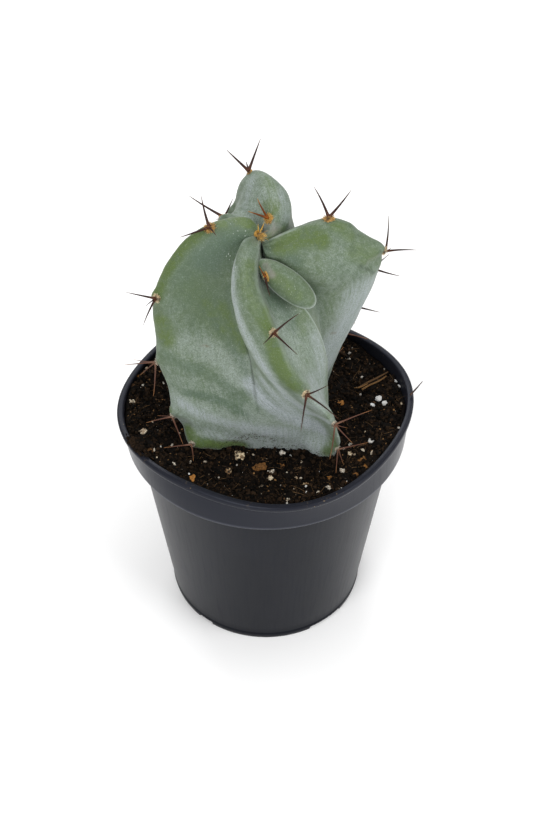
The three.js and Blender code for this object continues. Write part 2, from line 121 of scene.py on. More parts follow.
# Stem: each rib's crest in millimetres, from beside the growing point out over the shoulder and down
# to its buried end, with its half thickness on the left and on the right at the top and at the end
STEM_STATIONS = 260
RIBS = [
    ("left", (4, 4), (4, 4), [
        (-1.7, 1.2, 168), (-6.1, 1.8, 171.8), (-17, 0.3, 171), (-26.5, -2, 165), (-34.5, -4, 152.5),
        (-37.5, -6, 142), (-37, -8, 130), (-36.5, -10, 119.5), (-33.5, -12, 109.5), (-32, -14, 97),
        (-27, -15, 89), (-24, -13, 76),
    ]),
    ("front", (8.5, 2.5), (3.5, 3.5), [
        (-2.5, -3, 166.5), (-4.5, -9, 169), (-6.5, -17, 168.5), (-6.5, -23, 164.5), (-4, -27, 158.5),
        (2, -29.5, 150.5), (4, -30.5, 142.5), (7, -30.5, 133.5), (13, -30, 123.5), (22.5, -27, 106.5),
        (24, -23.5, 91), (19, -20, 75),
    ]),
    ("young", (3, 3), (1.4, 1.8), [
        (-2.1, -5, 163.2), (-1.6, -8.1, 161.6), (0.7, -11.6, 159.5), (5.8, -14.4, 156),
        (11.6, -16.9, 151.4), (18, -16, 137), (20.5, -14.5, 125), (21, -13, 115), (21.2, -12, 107),
        (21.7, -11, 98), (22.5, -9, 87), (19, -7, 75),
    ]),
    ("right", (4.5, 4.5), (4.5, 4.5), [
        (-0.6, -1.8, 164.6), (4.8, 1.8, 165), (14.2, 5, 166.8), (22.5, 6, 167.6), (30.5, 5, 164.4),
        (38, 4, 156.6), (37, 7, 143), (32.5, 9, 127), (27.5, 10, 111.5), (23.5, 9, 98), (21, 8, 87),
        (17, 6, 75),
    ]),
    ("back", (5, 9), (6, 3.6), [
        (1, 3, 165.5), (3, 7, 169.5), (2, 12, 174), (0, 17, 177), (-3, 22.5, 175.5), (-3, 28, 168),
        (-4.5, 31.5, 155), (-7.5, 32, 140), (-10, 31, 125), (-12, 29, 108), (-12, 26, 88),
        (-10, 20, 75),
    ]),
    ("rear_left", (4, 4), (4, 4), [
        (-2, 2.5, 165), (-8, 8, 167), (-14.5, 11.5, 165.5), (-17, 15.5, 155.5), (-21.5, 19, 146.5),
        (-25, 20.5, 138), (-27, 21, 128), (-28, 20.5, 118), (-27.5, 19, 108), (-26, 17, 98),
        (-23, 14, 87), (-18, 11, 75),
    ]),
]

# Each groove lies before the rib of the same place in the list above
GROOVES = [
    [
        (-3.5, 2, 163.5), (-8, 4.5, 161.5), (-13, 7, 156), (-16, 8, 149), (-17.5, 8, 141),
        (-18, 7.5, 133), (-18.5, 7, 125), (-19, 7, 116), (-19.5, 6.5, 107), (-19.5, 6, 98),
        (-19, 5, 87), (-16, 4, 75),
    ],
    [
        (-3, -1.5, 163.5), (-5, -5, 162), (-6.5, -8.5, 158), (-7, -11, 152), (-7, -13, 145),
        (-7, -15.2, 137.7), (-6, -17.3, 131.7), (-5, -19.5, 124.4), (-4, -21, 115.4),
        (-2.5, -21.4, 102.4), (-1.5, -19, 88), (-1, -16, 75),
    ],
    [
        (0, -3.5, 163), (1, -7, 160.5), (1.5, -11, 157), (3, -14, 152.5), (6, -17, 147), (9, -19, 141),
        (12, -20, 133), (15, -21, 125), (18, -21, 116), (22, -19, 103), (23.5, -16, 88), (20, -13, 75),
    ],
    [
        (-1.4, -0.8, 161.8), (0, -1.4, 156.9), (4.3, -1.8, 155.1), (10.5, -4.8, 150.8),
        (14.2, -6.5, 146.2), (17, -5.8, 138.5), (18.2, -5.5, 128.9), (19, -2.8, 117), (19.5, -2, 107),
        (20, -1, 98), (20, 0, 87), (17, 0, 75),
    ],
    [
        (2.5, 1.5, 163), (6, 6, 161), (9, 11, 157), (11, 15, 151), (12, 17, 143), (12.5, 18, 135),
        (12.5, 18.5, 126), (12.5, 18.5, 117), (12.5, 18, 107), (12.5, 17.5, 98), (12, 17, 87),
        (10, 14, 75),
    ],
    [
        (-1, 3.5, 163.5), (-5, 9.5, 166.2), (-9.5, 14, 165.8), (-12.5, 18, 158), (-14.5, 20.5, 145),
        (-16, 22, 136), (-17, 22.5, 127), (-17.5, 22.5, 117), (-17.5, 22, 107), (-17.5, 21, 98),
        (-17, 20, 87), (-14, 15, 75),
    ],
]
# The front rib is a broad band with an edge on either side. Each edge, station by station, as the pixels
# of the picture that it passes through and how far in millimetres it lies behind the crest for the camera
FRONT_LEFT_EDGE = [
    (254, 235, 0.5), (243, 241, 1.5), (233.5, 264, 3), (231, 286, 3.6), (234, 309, 4), (243, 337, 5),
    (254, 358, 5), (268, 377, 5), (285, 393, 4.5), (309, 412, 3), (322, 440, 2), (312, 466, 2),
]
FRONT_RIGHT_EDGE = [
    (259.5, 238, 0.8), (259, 248, 2), (257, 264, 3), (257.5, 285, 3.2), (265.5, 308, 2.4),
    (276, 332, 1.2), (284, 352, 1), (293, 371, 0.8), (308, 392, 0.8), (335, 423, 1), (337, 448, 1.5),
    (326, 470, 2),
]
# The groove on its right lies close under the right edge
FRONT_GROOVE = [
    (260, 246, 1.5), (260, 256, 5), (260.5, 272, 8), (263, 291, 8), (272, 312, 7.5), (282, 333, 6),
    (291, 352, 5), (300, 371, 4), (313, 390, 3), (333, 414, 3), (336, 440, 4), (324, 462, 5),
]
# The right rib's near flank stands up like a wall beside the bean
RIGHT_FLANK = [
    (262.5, 245, 0), (266.5, 255.5, -3.5), (281, 260.5, -5), (301, 276, -3.5), (326, 281, -1),
]
# Where the skin swells or draws in beside its areoles: a pixel of the picture, the pixels it moves by to
# the right and down, and how far that reaches in millimetres
NUDGES = [
    (225, 213, -6, 1, 4), (287, 205, 3, 0, 8), (233, 210.5, -6, 1, 2.6), (377, 248, 7, 0, 4),
    (362, 238, -6, 7, 5), (376, 263, -7, 0, 3.8), (157, 297, -5, 0, 3), (158, 312, 2, 0, 4),
    (161, 361, -3, 0, 3), (174, 413, -4, 0, 3), (182, 424, 6, -1, 4), (197, 437, -5, 8, 5),
    (216, 441, 0, 7, 6), (333, 440, 3, 2, 4), (318, 444, 0, 11, 6),
]
# The youngest tubercle is an oval bean over the groove beside the growing point
BEAN_CENTRE = Vector((6.5, -17.0, 160.4)) * MM
BEAN_AXIS = (16, -10, -8)
BEAN_HALF_SIZE = (11.6, 4.6, 4.0)
BEAN_ROOT = 5.2

# The pixels of the picture that these clusters sit at. The others sit where the CAD has them
SEATS = {
    "spines_left_1": (209.8, 228),
    "spines_left_2": (156.5, 298),
    "spines_left_5": (192, 443.5),
    "spines_front_1": (257, 234),
    "spines_front_2": (273, 332.5),
    "spines_front_3": (305.8, 394),
    "spines_young_1": (266.5, 276.5),
    "spines_back_1": (268.8, 218.5),
}

# Spines: the radius at the base, and the length of a spine that is as thick as that
SPINE_RADIUS = 0.42 * MM
FULL_SPINE_LENGTH = 9 * MM
HAIR_WIDTH = 0.8 * MM

# Thin rods: steps round them, and steps along them for each point
ROD_SEGMENTS = 7
ROD_STEPS = 6


# Meshes

def linked(name, data):
    """A new object of a mesh, a lamp or a camera."""
    piece = bpy.data.objects.new(name, data)
    bpy.context.scene.collection.objects.link(piece)
    return piece


def mesh_of(bm, name):
    mesh = bpy.data.meshes.new(name)
    bm.to_mesh(mesh)
    bm.free()
    return mesh


def with_modifiers(piece):
    """The piece's mesh with its modifiers worked in."""
    bpy.context.view_layer.update()
    shown = piece.evaluated_get(bpy.context.evaluated_depsgraph_get())
    mesh = bpy.data.meshes.new_from_object(shown)
    piece.modifiers.clear()
    return mesh


def corners(mesh):
    co = np.zeros(len(mesh.vertices) * 3)
    mesh.vertices.foreach_get("co", co)
    return co.reshape(-1, 3)


def set_corners(mesh, co):
    mesh.vertices.foreach_set("co", np.asarray(co, float).ravel())
    mesh.update()


def corner_normals(mesh):
    normals = np.zeros(len(mesh.vertices) * 3)
    mesh.vertex_normals.foreach_get("vector", normals)
    return normals.reshape(-1, 3)


def mark(mesh, name, values):
    """Writes one number for each corner, for the material to read."""
    layer = mesh.attributes.get(name) or mesh.attributes.new(name, "FLOAT", "POINT")
    layer.data.foreach_set("value", np.asarray(values, np.float32))


def marked(mesh, name):
    """Reads those numbers back."""
    values = np.zeros(len(mesh.vertices), np.float32)
    mesh.attributes[name].data.foreach_get("value", values)
    return values.astype(float)


def rounded(mesh, rounds):
    """The corners after that many rounds of each moving half way to the middle of its neighbours."""
    edges = np.zeros(len(mesh.edges) * 2, int)
    mesh.edges.foreach_get("vertices", edges)
    first, second = edges.reshape(-1, 2).T
    out = corners(mesh)
    count = len(out)
    neighbours = (np.bincount(first, minlength=count) + np.bincount(second, minlength=count)).clip(1)
    for _ in range(rounds):
        for axis in range(3):
            column = out[:, axis]
            total = np.bincount(first, column[second], count)
            total += np.bincount(second, column[first], count)
            out[:, axis] = column + 0.5 * (total / neighbours - column)
    return out


def ripple(points, size, seed):
    """A smooth random number at each point, about -1 to 1, in lumps of that size."""
    shift = Vector((seed * 7.31, seed * 3.17, seed * 5.93))
    return np.array([noise.fractal(Vector(p) / size + shift, 1.0, 2.0, 2) for p in points])


def eased(values, low, high):
    """0 below low, 1 above high and a smooth rise between."""
    t = np.clip((np.asarray(values) - low) / (high - low), 0, 1)
    return t * t * (3 - 2 * t)


def cleaned_copy(node):
    """A CAD node's mesh as a bmesh, with its corners joined up."""
    bm = bmesh.new()
    bm.from_mesh(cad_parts[node].data)
    bmesh.ops.remove_doubles(bm, verts=bm.verts[:], dist=0.005 * MM)
    return bm


def shape_of(bm):
    """A bmesh as an array of its corners and a list of its faces."""
    bm.verts.index_update()
    co = np.array([v.co for v in bm.verts])
    faces = [tuple(v.index for v in face.verts) for face in bm.faces]
    bm.free()
    return co, faces


def circle(radius, sides, centre, turn=Matrix.Identity(3)):
    """Points on a circle."""
    bearings = [TURN * k / sides for k in range(sides)]
    return [centre + turn @ Vector((-math.sin(b), math.cos(b), 0)) * radius for b in bearings]


def tube(rings, tip=None):
    """A skin over rings of points, closed at the start, and at the end by a face or a tip."""
    bm = bmesh.new()
    rows = [[bm.verts.new(point) for point in ring] for ring in rings]
    for before, after in zip(rows, rows[1:]):
        for k in range(len(before)):
            bm.faces.new((before[k - 1], before[k], after[k], after[k - 1]))
    bm.faces.new(rows[0])
    if tip is None:
        bm.faces.new(rows[-1])
    else:
        point = bm.verts.new(tip)
        for k in range(len(rows[-1])):
            bm.faces.new((rows[-1][k - 1], rows[-1][k], point))
    bmesh.ops.recalc_face_normals(bm, faces=bm.faces[:])
    return bm


def upright_edges(bm):
    return [edge for edge in bm.edges if abs(edge.verts[0].co.z - edge.verts[1].co.z) > 0.5]


def swarm(name, templates, placings, tints, finish):
    """One piece of many copies: each placing is a matrix, and takes the templates in turn."""
    shapes = [shape_of(template) for template in templates]
    all_co, all_faces, all_tints, start = [], [], [], 0
    for i, (placing, tint) in enumerate(zip(placings, tints)):
        co, faces = shapes[i % len(shapes)]
        turned = np.array(placing)
        all_co.append(co @ turned[:3, :3].T + turned[:3, 3])
        all_faces.extend(tuple(start + k for k in face) for face in faces)
        all_tints.append(np.full(len(co), tint))
        start += len(co)
    mesh = bpy.data.meshes.new(name)
    mesh.from_pydata(np.concatenate(all_co).tolist(), [], all_faces)
    mark(mesh, "tint", np.concatenate(all_tints))
    mesh.materials.append(finish)
    return linked(name, mesh)


# Shader maths

class Shade:
    """A shader value: Python's operators on it add Math nodes."""

    def __init__(self, finish, socket):
        self.finish = finish
        self.socket = socket

    def math(self, operation, *values, clamp=False):
        settings = {"operation": operation, "use_clamp": clamp}
        return self.finish.node("ShaderNodeMath", settings, dict(enumerate(values)))

    def __add__(self, other):
        return self.math("ADD", self, other)

    def __radd__(self, other):
        return self.math("ADD", other, self)

    def __sub__(self, other):
        return self.math("SUBTRACT", self, other)

    def __rsub__(self, other):
        return self.math("SUBTRACT", other, self)

    def __mul__(self, other):
        return self.math("MULTIPLY", self, other)

    def __rmul__(self, other):
        return self.math("MULTIPLY", other, self)

    def clamped(self):
        return self.math("ADD", self, 0.0, clamp=True)

    def eased(self, low, high):
        """0 below low, 1 above high and a smooth rise between."""
        settings = {"interpolation_type": "SMOOTHSTEP", "clamp": True}
        values = {"Value": self, "From Min": low, "From Max": high, "To Min": 0.0, "To Max": 1.0}
        return self.finish.node("ShaderNodeMapRange", settings, values)


def srgb(red, green, blue):
    """A screen colour from 0 to 255 as the shader's linear colour."""
    def linear(part):
        part /= 255
        return part / 12.92 if part <= 0.04045 else ((part + 0.055) / 1.055) ** 2.4
    return (linear(red), linear(green), linear(blue), 1.0)


class Finish:
    """A material being made. Patterns are in millimetres on the piece's own coordinates."""

    def __init__(self, name, colour):
        self.colour = srgb(*colour)
        self.material = bpy.data.materials.new(name)
        self.material.use_nodes = True
        self.tree = self.material.node_tree
        self.shader = self.tree.nodes["Principled BSDF"]
        inputs = {0: self.node("ShaderNodeTexCoord", {}, {}, "Object"), 1: (1 / MM, 1 / MM, 1 / MM)}
        self.place = self.node("ShaderNodeVectorMath", {"operation": "MULTIPLY"}, inputs)

    def node(self, kind, settings, values, output=0):
        """Adds a node, sets it up, fills or links its inputs and returns one of its outputs."""
        node = self.tree.nodes.new(kind)
        for key, value in settings.items():
            setattr(node, key, value)
        for key, value in values.items():
            if isinstance(value, Shade):
                self.tree.links.new(value.socket, node.inputs[key])
            else:
                node.inputs[key].default_value = value
        return Shade(self, node.outputs[output])

    def noise(self, size, detail, rough, vector=None, warp=0.0):
        """Cloudy noise in lumps of that size in millimetres."""
        values = {"Vector": vector or self.place, "Scale": 1 / size}
        values.update({"Detail": detail, "Roughness": rough, "Distortion": warp})
        return self.node("ShaderNodeTexNoise", {}, values, "Fac")

    def cells(self, size):
        """How far it is to the middle of the cell, for cells of that size in millimetres."""
        values = {"Vector": self.place, "Scale": 1 / size}
        return self.node("ShaderNodeTexVoronoi", {}, values, "Distance")

    def attribute(self, name):
        return self.node("ShaderNodeAttribute", {"attribute_name": name}, {}, "Fac")

    def axis(self, name):
        return self.node("ShaderNodeSeparateXYZ", {}, {0: self.place}, name)

    def vector(self, x, y, z):
        return self.node("ShaderNodeCombineXYZ", {}, {0: x, 1: y, 2: z})

    def layer(self, share, colour, blend="MIX"):
        """Lays a screen colour over the colours so far, by a share from 0 to 1."""
        settings = {"data_type": "RGBA", "blend_type": blend, "clamp_factor": True}
        values = {0: share, 6: self.colour, 7: srgb(*colour)}
        self.colour = self.node("ShaderNodeMix", settings, values, 2)

    def bump(self, height, depth):
        """Depth is in millimetres for a height that runs from 0 to 1."""
        values = {"Strength": 1.0, "Distance": depth * MM, "Height": height}
        return self.node("ShaderNodeBump", {}, values)

    def done(self, rough, normal, **values):
        """Joins the colour, roughness and bump to the shader."""
        self.set(Base_Color=self.colour, Roughness=rough, Normal=normal, **values)
        return self.material

    def set(self, **values):
        """Sets the shader's sockets by name, with _ for a space."""
        for key, value in values.items():
            socket = self.shader.inputs[key.replace("_", " ")]
            if isinstance(value, Shade):
                self.tree.links.new(value.socket, socket)
            else:
                socket.default_value = value


# Finishes

def cactus_skin():
    """Grey-green skin, greener on the crests, under a bluish waxy bloom that is patchy and speckled."""
    skin = Finish("cactus_skin", (82, 98, 70))
    broad = skin.noise(15, 3, 0.55, warp=0.5)
    middle = skin.noise(4.5, 5, 0.65, warp=0.5)
    small = skin.noise(1.7, 4, 0.65, warp=0.4)
    fine = skin.noise(1.1, 4, 0.7)
    grain = skin.noise(0.5, 2, 0.6)
    crest_gap = skin.attribute("crest_gap")
    down = skin.attribute("station")
    lengthwise = skin.vector(crest_gap * 1.1, down * 11.0, skin.attribute("rib") * 9.0)
    streaks = skin.noise(1.0, 4, 0.6, vector=lengthwise, warp=0.6)
    skin.layer(broad.eased(0.35, 0.65), (78, 95, 74))
    skin.layer(small.eased(0.42, 0.62) * 0.45, (100, 117, 96))
    skin.layer(fine.eased(0.45, 0.65) * 0.5, (66, 84, 60))
    # Deep blue-green: partly darker skin, partly painted shade in the grooves and round the bean
    deep = skin.attribute("deep") * (0.5 + 0.9 * middle)
    skin.layer(deep.clamped() * 0.85, (76, 94, 80))
    patches = 0.2 + 1.2 * middle.eased(0.32, 0.62) + 0.5 * small.eased(0.4, 0.6)
    fresh = skin.attribute("fresh") * patches
    skin.layer(fresh.clamped(), (77, 96, 44))
    mottle = skin.attribute("mottle")
    clouds = (broad - 0.5) * 0.4 + ((middle - 0.5) * 0.6 + (small - 0.5) * 1.2) * (0.4 + 0.75 * mottle)
    # Bloom; a few of its strokes are a painted highlight along the front band's left edge
    bloom = skin.attribute("bloom") + clouds
    bloom = bloom + (streaks - 0.5) * (0.4 + 0.8 * skin.attribute("streaked"))
    frost = bloom.eased(0.02, 1.12) * (0.5 + 0.65 * grain.eased(0.3, 0.62) * fine.eased(0.25, 0.6))
    skin.layer(frost.clamped(), (137, 148, 140))
    # Lavender bloom, and along the front band's left edge a painted highlight
    lavender_and_highlight = skin.attribute("lavender_and_highlight") * (0.6 + 0.4 * streaks.eased(0.35, 0.6)) * (0.6 + 0.6 * small)
    skin.layer(lavender_and_highlight.clamped(), (162, 169, 175))
    thin = skin.vector(crest_gap * 2.6, down * 15.0, skin.attribute("rib") * 5.0)
    lines = skin.noise(1.0, 3, 0.65, vector=thin, warp=0.4).eased(0.56, 0.64)
    skin.layer(lines * skin.attribute("streaked") * 0.5, (86, 106, 74))
    speckle = skin.noise(0.4, 3, 0.75)
    skin.layer(speckle.eased(0.48, 0.66) * 0.5, (66, 84, 58))
    skin.layer(speckle.eased(0.46, 0.34) * 0.2, (158, 168, 160))
    pits = (1.0 - skin.cells(0.75).eased(0.14, 0.34)) * fine.eased(0.42, 0.6) * mottle
    skin.layer(pits * 0.7, (74, 94, 72))
    # Pale edges: partly waxy bloom, partly a painted highlight on rib edges and the bean's rim
    edge = skin.attribute("edge")
    skin.layer(edge * (0.35 + 0.4 * small), (152, 163, 156))
    # Painted shade: dark lines in the narrow creases and gaps
    crease_shade = skin.attribute("crease_shade") * (0.5 + 0.8 * fine)
    skin.layer(crease_shade.clamped() * 0.8, (42, 56, 38))
    dirt = skin.attribute("soiled")
    crumbs = skin.cells(0.75).eased(0.38, 0.2) * (dirt * (0.35 + middle)).eased(0.4, 0.75)
    skin.layer(crumbs, (34, 28, 20))
    dust = (fine + small * 0.5).eased(0.72, 0.95) * dirt
    skin.layer(dust * 0.7, (60, 52, 38))
    specks = skin.cells(1.0).eased(0.24, 0.12) * fine.eased(0.45, 0.55) * skin.attribute("specks")
    skin.layer(specks * 0.9, (184, 192, 184))
    skin.layer(skin.attribute("blush") * middle.eased(0.3, 0.6), (142, 132, 136))
    skin.layer(skin.attribute("scar"), (88, 70, 44))
    relief = grain * 0.35 + streaks * 0.5 + middle * 0.7 + small * 0.5
    normal = skin.bump(relief, 0.16)
    rough = 0.5 + 0.18 * frost + 0.08 * grain
    skin.set(Subsurface_Weight=0.05, Subsurface_Radius=(0.4, 0.6, 0.25), Subsurface_Scale=2 * MM)
    return skin.done(rough, normal, Specular_IOR_Level=0.35, Sheen_Weight=0.12, Sheen_Roughness=0.4)


def pot_plastic():
    """Blue-black moulded plastic: satin, with fine upright streaks, scuffs and soil dust by the rim."""
    pot = Finish("pot_plastic", (28, 29, 36))
    angle = pot.node("ShaderNodeMath", {"operation": "ARCTAN2"}, {0: pot.axis("Y"), 1: pot.axis("X")})
    upright = pot.vector(angle * 40, pot.axis("Z") * 0.04, 0.0)
    streaks = pot.noise(0.9, 4, 0.65, vector=upright)
    clouds = pot.noise(16, 4, 0.6, warp=0.6)
    grain = pot.noise(0.35, 2, 0.5)
    scuffs = pot.noise(1.1, 5, 0.75, vector=pot.vector(angle * 40, pot.axis("Z") * 0.7, 0.0), warp=1.2)
    wall = pot.attribute("wall")
    pot.layer(clouds.eased(0.3, 0.7), (34, 35, 42))
    # The wall below the collar is darker; the collar's lighter colour is a painted sheen
    pot.layer(wall, (9, 10, 16))
    pot.layer(clouds.eased(0.35, 0.7) * 0.4, (20, 21, 28))
    pot.layer(streaks.eased(0.5, 0.75) * 0.3, (26, 28, 36))
    pot.layer(scuffs.eased(0.68, 0.78) * 0.25, (84, 88, 98))
    dust = pot.attribute("dust") * pot.noise(1.3, 5, 0.7).eased(0.56, 0.7)
    pot.layer(dust * 0.45, (96, 84, 68))
    dots = pot.cells(2.2).eased(0.1, 0.04) * pot.attribute("dust")
    pot.layer(dots, (140, 120, 92))
    # Painted highlight: a light line along the collar's lower edge
    pot.layer(pot.attribute("line") * (0.2 + 0.8 * clouds), (66, 68, 76))
    rough = 0.26 + 0.1 * clouds + 0.1 * streaks.eased(0.45, 0.75) + 0.2 * dust + 0.14 * wall
    normal = pot.bump(grain * 0.5 + streaks * 0.6 + clouds * 0.4, 0.05)
    pot.set(Specular_IOR_Level=0.1, Specular_Tint=(0.7, 0.8, 1.0, 1.0))
    return pot.done(rough, normal, Coat_Weight=0.4, Coat_IOR=1.2, Coat_Roughness=0.28)


def peat(name, dark, light):
    """Crumbly peat: each crumb has its own tint, with fibres of tan in it."""
    soil = Finish(name, dark)
    tint = soil.attribute("tint")
    clumps = soil.noise(2.4, 5, 0.7)
    fine = soil.noise(0.5, 3, 0.7)
    share = tint * 0.65 + clumps * 0.5 - 0.2
    soil.layer(share.eased(0.1, 0.9), light)
    tan = soil.cells(0.7).eased(0.2, 0.08) * soil.noise(2.2, 2, 0.5).eased(0.5, 0.6)
    soil.layer(tan * 0.8, (116, 84, 50))
    normal = soil.bump(fine * 0.6 + clumps * 0.8, 0.3)
    rough = 0.78 + 0.15 * fine
    return soil.done(rough, normal, Specular_IOR_Level=0.08)


def woody(name, dark, light):
    """Bark, twigs and fibres: lengthwise streaks between two browns."""
    wood = Finish(name, dark)
    streaks = wood.noise(0.5, 4, 0.65, warp=0.8)
    tint = wood.attribute("tint")
    wood.layer((streaks * 0.7 + tint * 0.6 - 0.15).eased(0.2, 0.8), light)
    normal = wood.bump(streaks, 0.15)
    rough = 0.7 + 0.15 * streaks
    return wood.done(rough, normal, Specular_IOR_Level=0.25)


def perlite_white():
    """Expanded perlite: from clean white to cream, stained brown and with dark pores."""
    grain = Finish("perlite_white", (198, 200, 200))
    pores = grain.cells(1.5)
    stain = grain.noise(1.3, 5, 0.75)
    tint = grain.attribute("tint")
    grain.layer(tint, (190, 172, 138))
    grain.layer(stain.eased(0.44, 0.54) * (0.1 + 0.85 * tint), (104, 74, 44))
    grain.layer(pores.eased(0.42, 0.24) * (0.2 + 0.8 * tint), (40, 30, 20))
    rough = 0.82 + 0.12 * stain
    normal = grain.bump(pores * 0.7 + stain * 0.5, 0.3)
    return grain.done(rough, normal, Specular_IOR_Level=0.3)


def spine_wood(name, base, middle, tip):
    """A spine: paler where it leaves the wool, dark along its length, with a fine tip."""
    spine = Finish(name, base)
    along = spine.attribute("along")
    fibres = spine.noise(0.35, 3, 0.6)
    spine.layer((along + (fibres - 0.5) * 0.25).eased(0.02, 0.3), middle)
    spine.layer((along + (fibres - 0.5) * 0.2).eased(0.62, 0.98), tip)
    spine.layer(fibres.eased(0.55, 0.75) * 0.3, middle, blend="SCREEN")
    rough = 0.42 + 0.2 * fibres
    normal = spine.bump(fibres, 0.05)
    return spine.done(rough, normal, Specular_IOR_Level=0.2)


def wool(name, root, end):
    """Felted areole wool: painted shade towards the root of each hair, and brown round the spines' feet.
    """
    felt = Finish(name, root)
    along = felt.attribute("along")
    tint = felt.attribute("tint")
    clumps = felt.noise(0.45, 4, 0.65)
    felt.layer((along * 0.7 + clumps * 0.5 + (tint - 0.5) * 0.7).eased(0.1, 1.0), end)
    felt.layer(felt.attribute("socket") * (0.5 + 0.6 * clumps), (58, 32, 16))
    rough = 0.85 + 0.1 * clumps
    return felt.done(rough, felt.bump(clumps, 0.25), Sheen_Weight=0.2, Specular_IOR_Level=0.2)


# Camera and light

def sight_line(u, v):
    """The direction from the camera through a pixel of the picture."""
    ahead = Vector((0, math.cos(CAMERA_DOWN), -math.sin(CAMERA_DOWN)))
    above = Vector((0, math.sin(CAMERA_DOWN), math.cos(CAMERA_DOWN)))
    across = Vector((1, 0, 0))
    line = ahead * FOCAL_PIXELS + across * (u - PICTURE_WIDTH / 2) - above * (v - PICTURE_HEIGHT / 2)
    return line.normalized()


def camera():
    data = bpy.data.cameras.new("camera")
    data.lens = LENS
    data.sensor_width = SENSOR
    data.clip_start = 0.01
    data.clip_end = 20
    eye = linked("camera", data)
    eye.location = CAMERA_PLACE
    eye.rotation_euler = (math.pi / 2 - CAMERA_DOWN, 0, 0)
    bpy.context.scene.camera = eye


def softbox(name, place, size, watts):
    data = bpy.data.lights.new(name, "AREA")
    data.shape = "RECTANGLE"
    data.size, data.size_y = size
    data.energy = watts
    lamp = linked(name, data)
    lamp.location = place
    lamp.rotation_euler = (LIGHT_TARGET - Vector(place)).to_track_quat("-Z", "Y").to_euler()


def studio():
    world = bpy.data.worlds.new("studio")
    world.use_nodes = True
    background = world.node_tree.nodes["Background"]
    background.inputs["Color"].default_value = (1.0, 1.0, 1.0, 1.0)
    background.inputs["Strength"].default_value = WORLD_STRENGTH
    bpy.context.scene.world = world
    bpy.context.scene.view_settings.view_transform = "Standard"
    for name, (place, size, watts) in SOFTBOXES.items():
        softbox(name, place, size, watts)
    bm = bmesh.new()
    bmesh.ops.create_grid(bm, x_segments=1, y_segments=1, size=FLOOR_HALF_SIZE)
    floor = linked("floor", mesh_of(bm, "floor"))
    paper = Finish("floor_paper", (250, 250, 250))
    tone = paper.noise(120, 2, 0.5)
    paper.layer(tone, (253, 253, 253))
    paper.set(Base_Color=paper.colour, Roughness=0.9 + 0.05 * tone)
    floor.data.materials.append(paper.material)


# Pot

def squared(x, y, z):
    """The rim is a rounded square: how far a point of the round shape moves out, at its height."""
    up = min(max((z - POT_HEIGHT + SQUARE_DEPTH) / SQUARE_DEPTH, 0), 1) ** 1.5
    bearing = math.atan2(x, -y)
    corner = math.cos(4 * (bearing - RIM_CORNER))
    oval = math.cos(2 * (bearing - RIM_OVAL))
    return 1 + up * (RIM_SQUARENESS * corner + RIM_OVALNESS * oval)


def spun(profile, steps):
    """A closed shape spun from a profile of radius and height in millimetres, that starts and ends on
    the axis, and squared towards the rim."""
    bm = bmesh.new()
    verts = [bm.verts.new((0, -radius * MM, height * MM)) for radius, height in profile]
    edges = [bm.edges.new(pair) for pair in zip(verts, verts[1:])]
    bmesh.ops.spin(bm, geom=verts + edges, axis=(0, 0, 1), angle=TURN, steps=steps, use_merge=True)
    bmesh.ops.remove_doubles(bm, verts=bm.verts[:], dist=0.002 * MM)
    for v in bm.verts:
        stretch = squared(v.co.x / MM, v.co.y / MM, v.co.z / MM)
        v.co.x *= stretch
        v.co.y *= stretch
    bmesh.ops.recalc_face_normals(bm, faces=bm.faces[:])
    return bm


def pot_profile():
    """Out over the underside, up the wall, over the collar and lip and down the inside."""
    collar_foot = POT_HEIGHT - COLLAR_HEIGHT
    collar = RIM_RADIUS - 0.8
    shoulder = collar - 4.2
    outside = [
        (0, 0), (13.6, 0), (14.2, 0.3), (15, 2.4), (15.6, 2.6), (32.6, 2.6), (33.1, 2.3), (33.4, 0.3),
        (33.8, 0), (35.5, 0), (35.9, 0.3), (36.1, 1.2), (36.3, 2.5), (36.1, 2.9), (36.1, 3.3),
    ]
    foot, foot_top = outside[-1]
    rise = collar_foot - 2.6 - foot_top
    for step in range(1, POT_WALL_RINGS + 1):
        share = step / POT_WALL_RINGS
        outside.append((foot + (shoulder - foot) * share, foot_top + rise * share))
    outside += [(shoulder + 0.25, collar_foot - 1.7), (shoulder + 0.9, collar_foot - 1.0)]
    turn_up = [
        (-1.4, -0.55), (-0.5, -0.35), (-0.2, -0.2), (-0.06, 0), (-0.02, 0.3), (-0.02, 0.6), (-0.02, 1.0),
    ]
    outside += [(collar + out, collar_foot + up) for out, up in turn_up]
    for step in range(1, 7):
        outside.append((collar - 0.02 + 0.2 * step / 6, collar_foot + 1.0 + 7.2 * step / 6))
    lip = [
        (-0.55, -2.4), (-0.2, -2.1), (-0.02, -1.8), (0, -1.3), (-0.04, -0.7), (-0.22, -0.32),
        (-0.55, -0.12), (-0.72, -0.16), (-0.8, -0.02), (-1.1, 0),
        (-1.95, 0), (-2.2, -0.1), (-2.36, -0.35), (-2.4, -0.8),
    ]
    outside += [(RIM_RADIUS + out, POT_HEIGHT + up) for out, up in lip]
    lining = collar - POT_WALL - 0.2
    inside = [
        (lining - 0.05, POT_HEIGHT - 2.6), (lining, SOIL_LEVEL), (lining, collar_foot + 1),
        (shoulder - POT_WALL, collar_foot - 1), (FOOT_RADIUS - POT_WALL + 0.3, 3.8), (14.4, 3.8),
        (13.2, POT_WALL), (0, POT_WALL),
    ]
    return outside + inside


def slot_cutter(bearing, width, start, end, top):
    bm = bmesh.new()
    size = Vector((width, end - start, top * 2)) * MM
    middle = Vector((0, -(start + end) / 2, 0)) * MM
    bmesh.ops.create_cube(bm, size=1, matrix=Matrix.Translation(middle) @ Matrix.Diagonal((*size, 1)))
    rounding = {"offset": SLOT_ROUNDING * MM, "segments": 4, "profile": 0.5, "material": -1}
    bmesh.ops.bevel(bm, geom=bm.edges[:], affect="EDGES", **rounding)
    bmesh.ops.rotate(bm, verts=bm.verts[:], matrix=Matrix.Rotation(math.radians(bearing), 3, "Z"))
    return linked("slot_cutter", mesh_of(bm, "slot_cutter"))


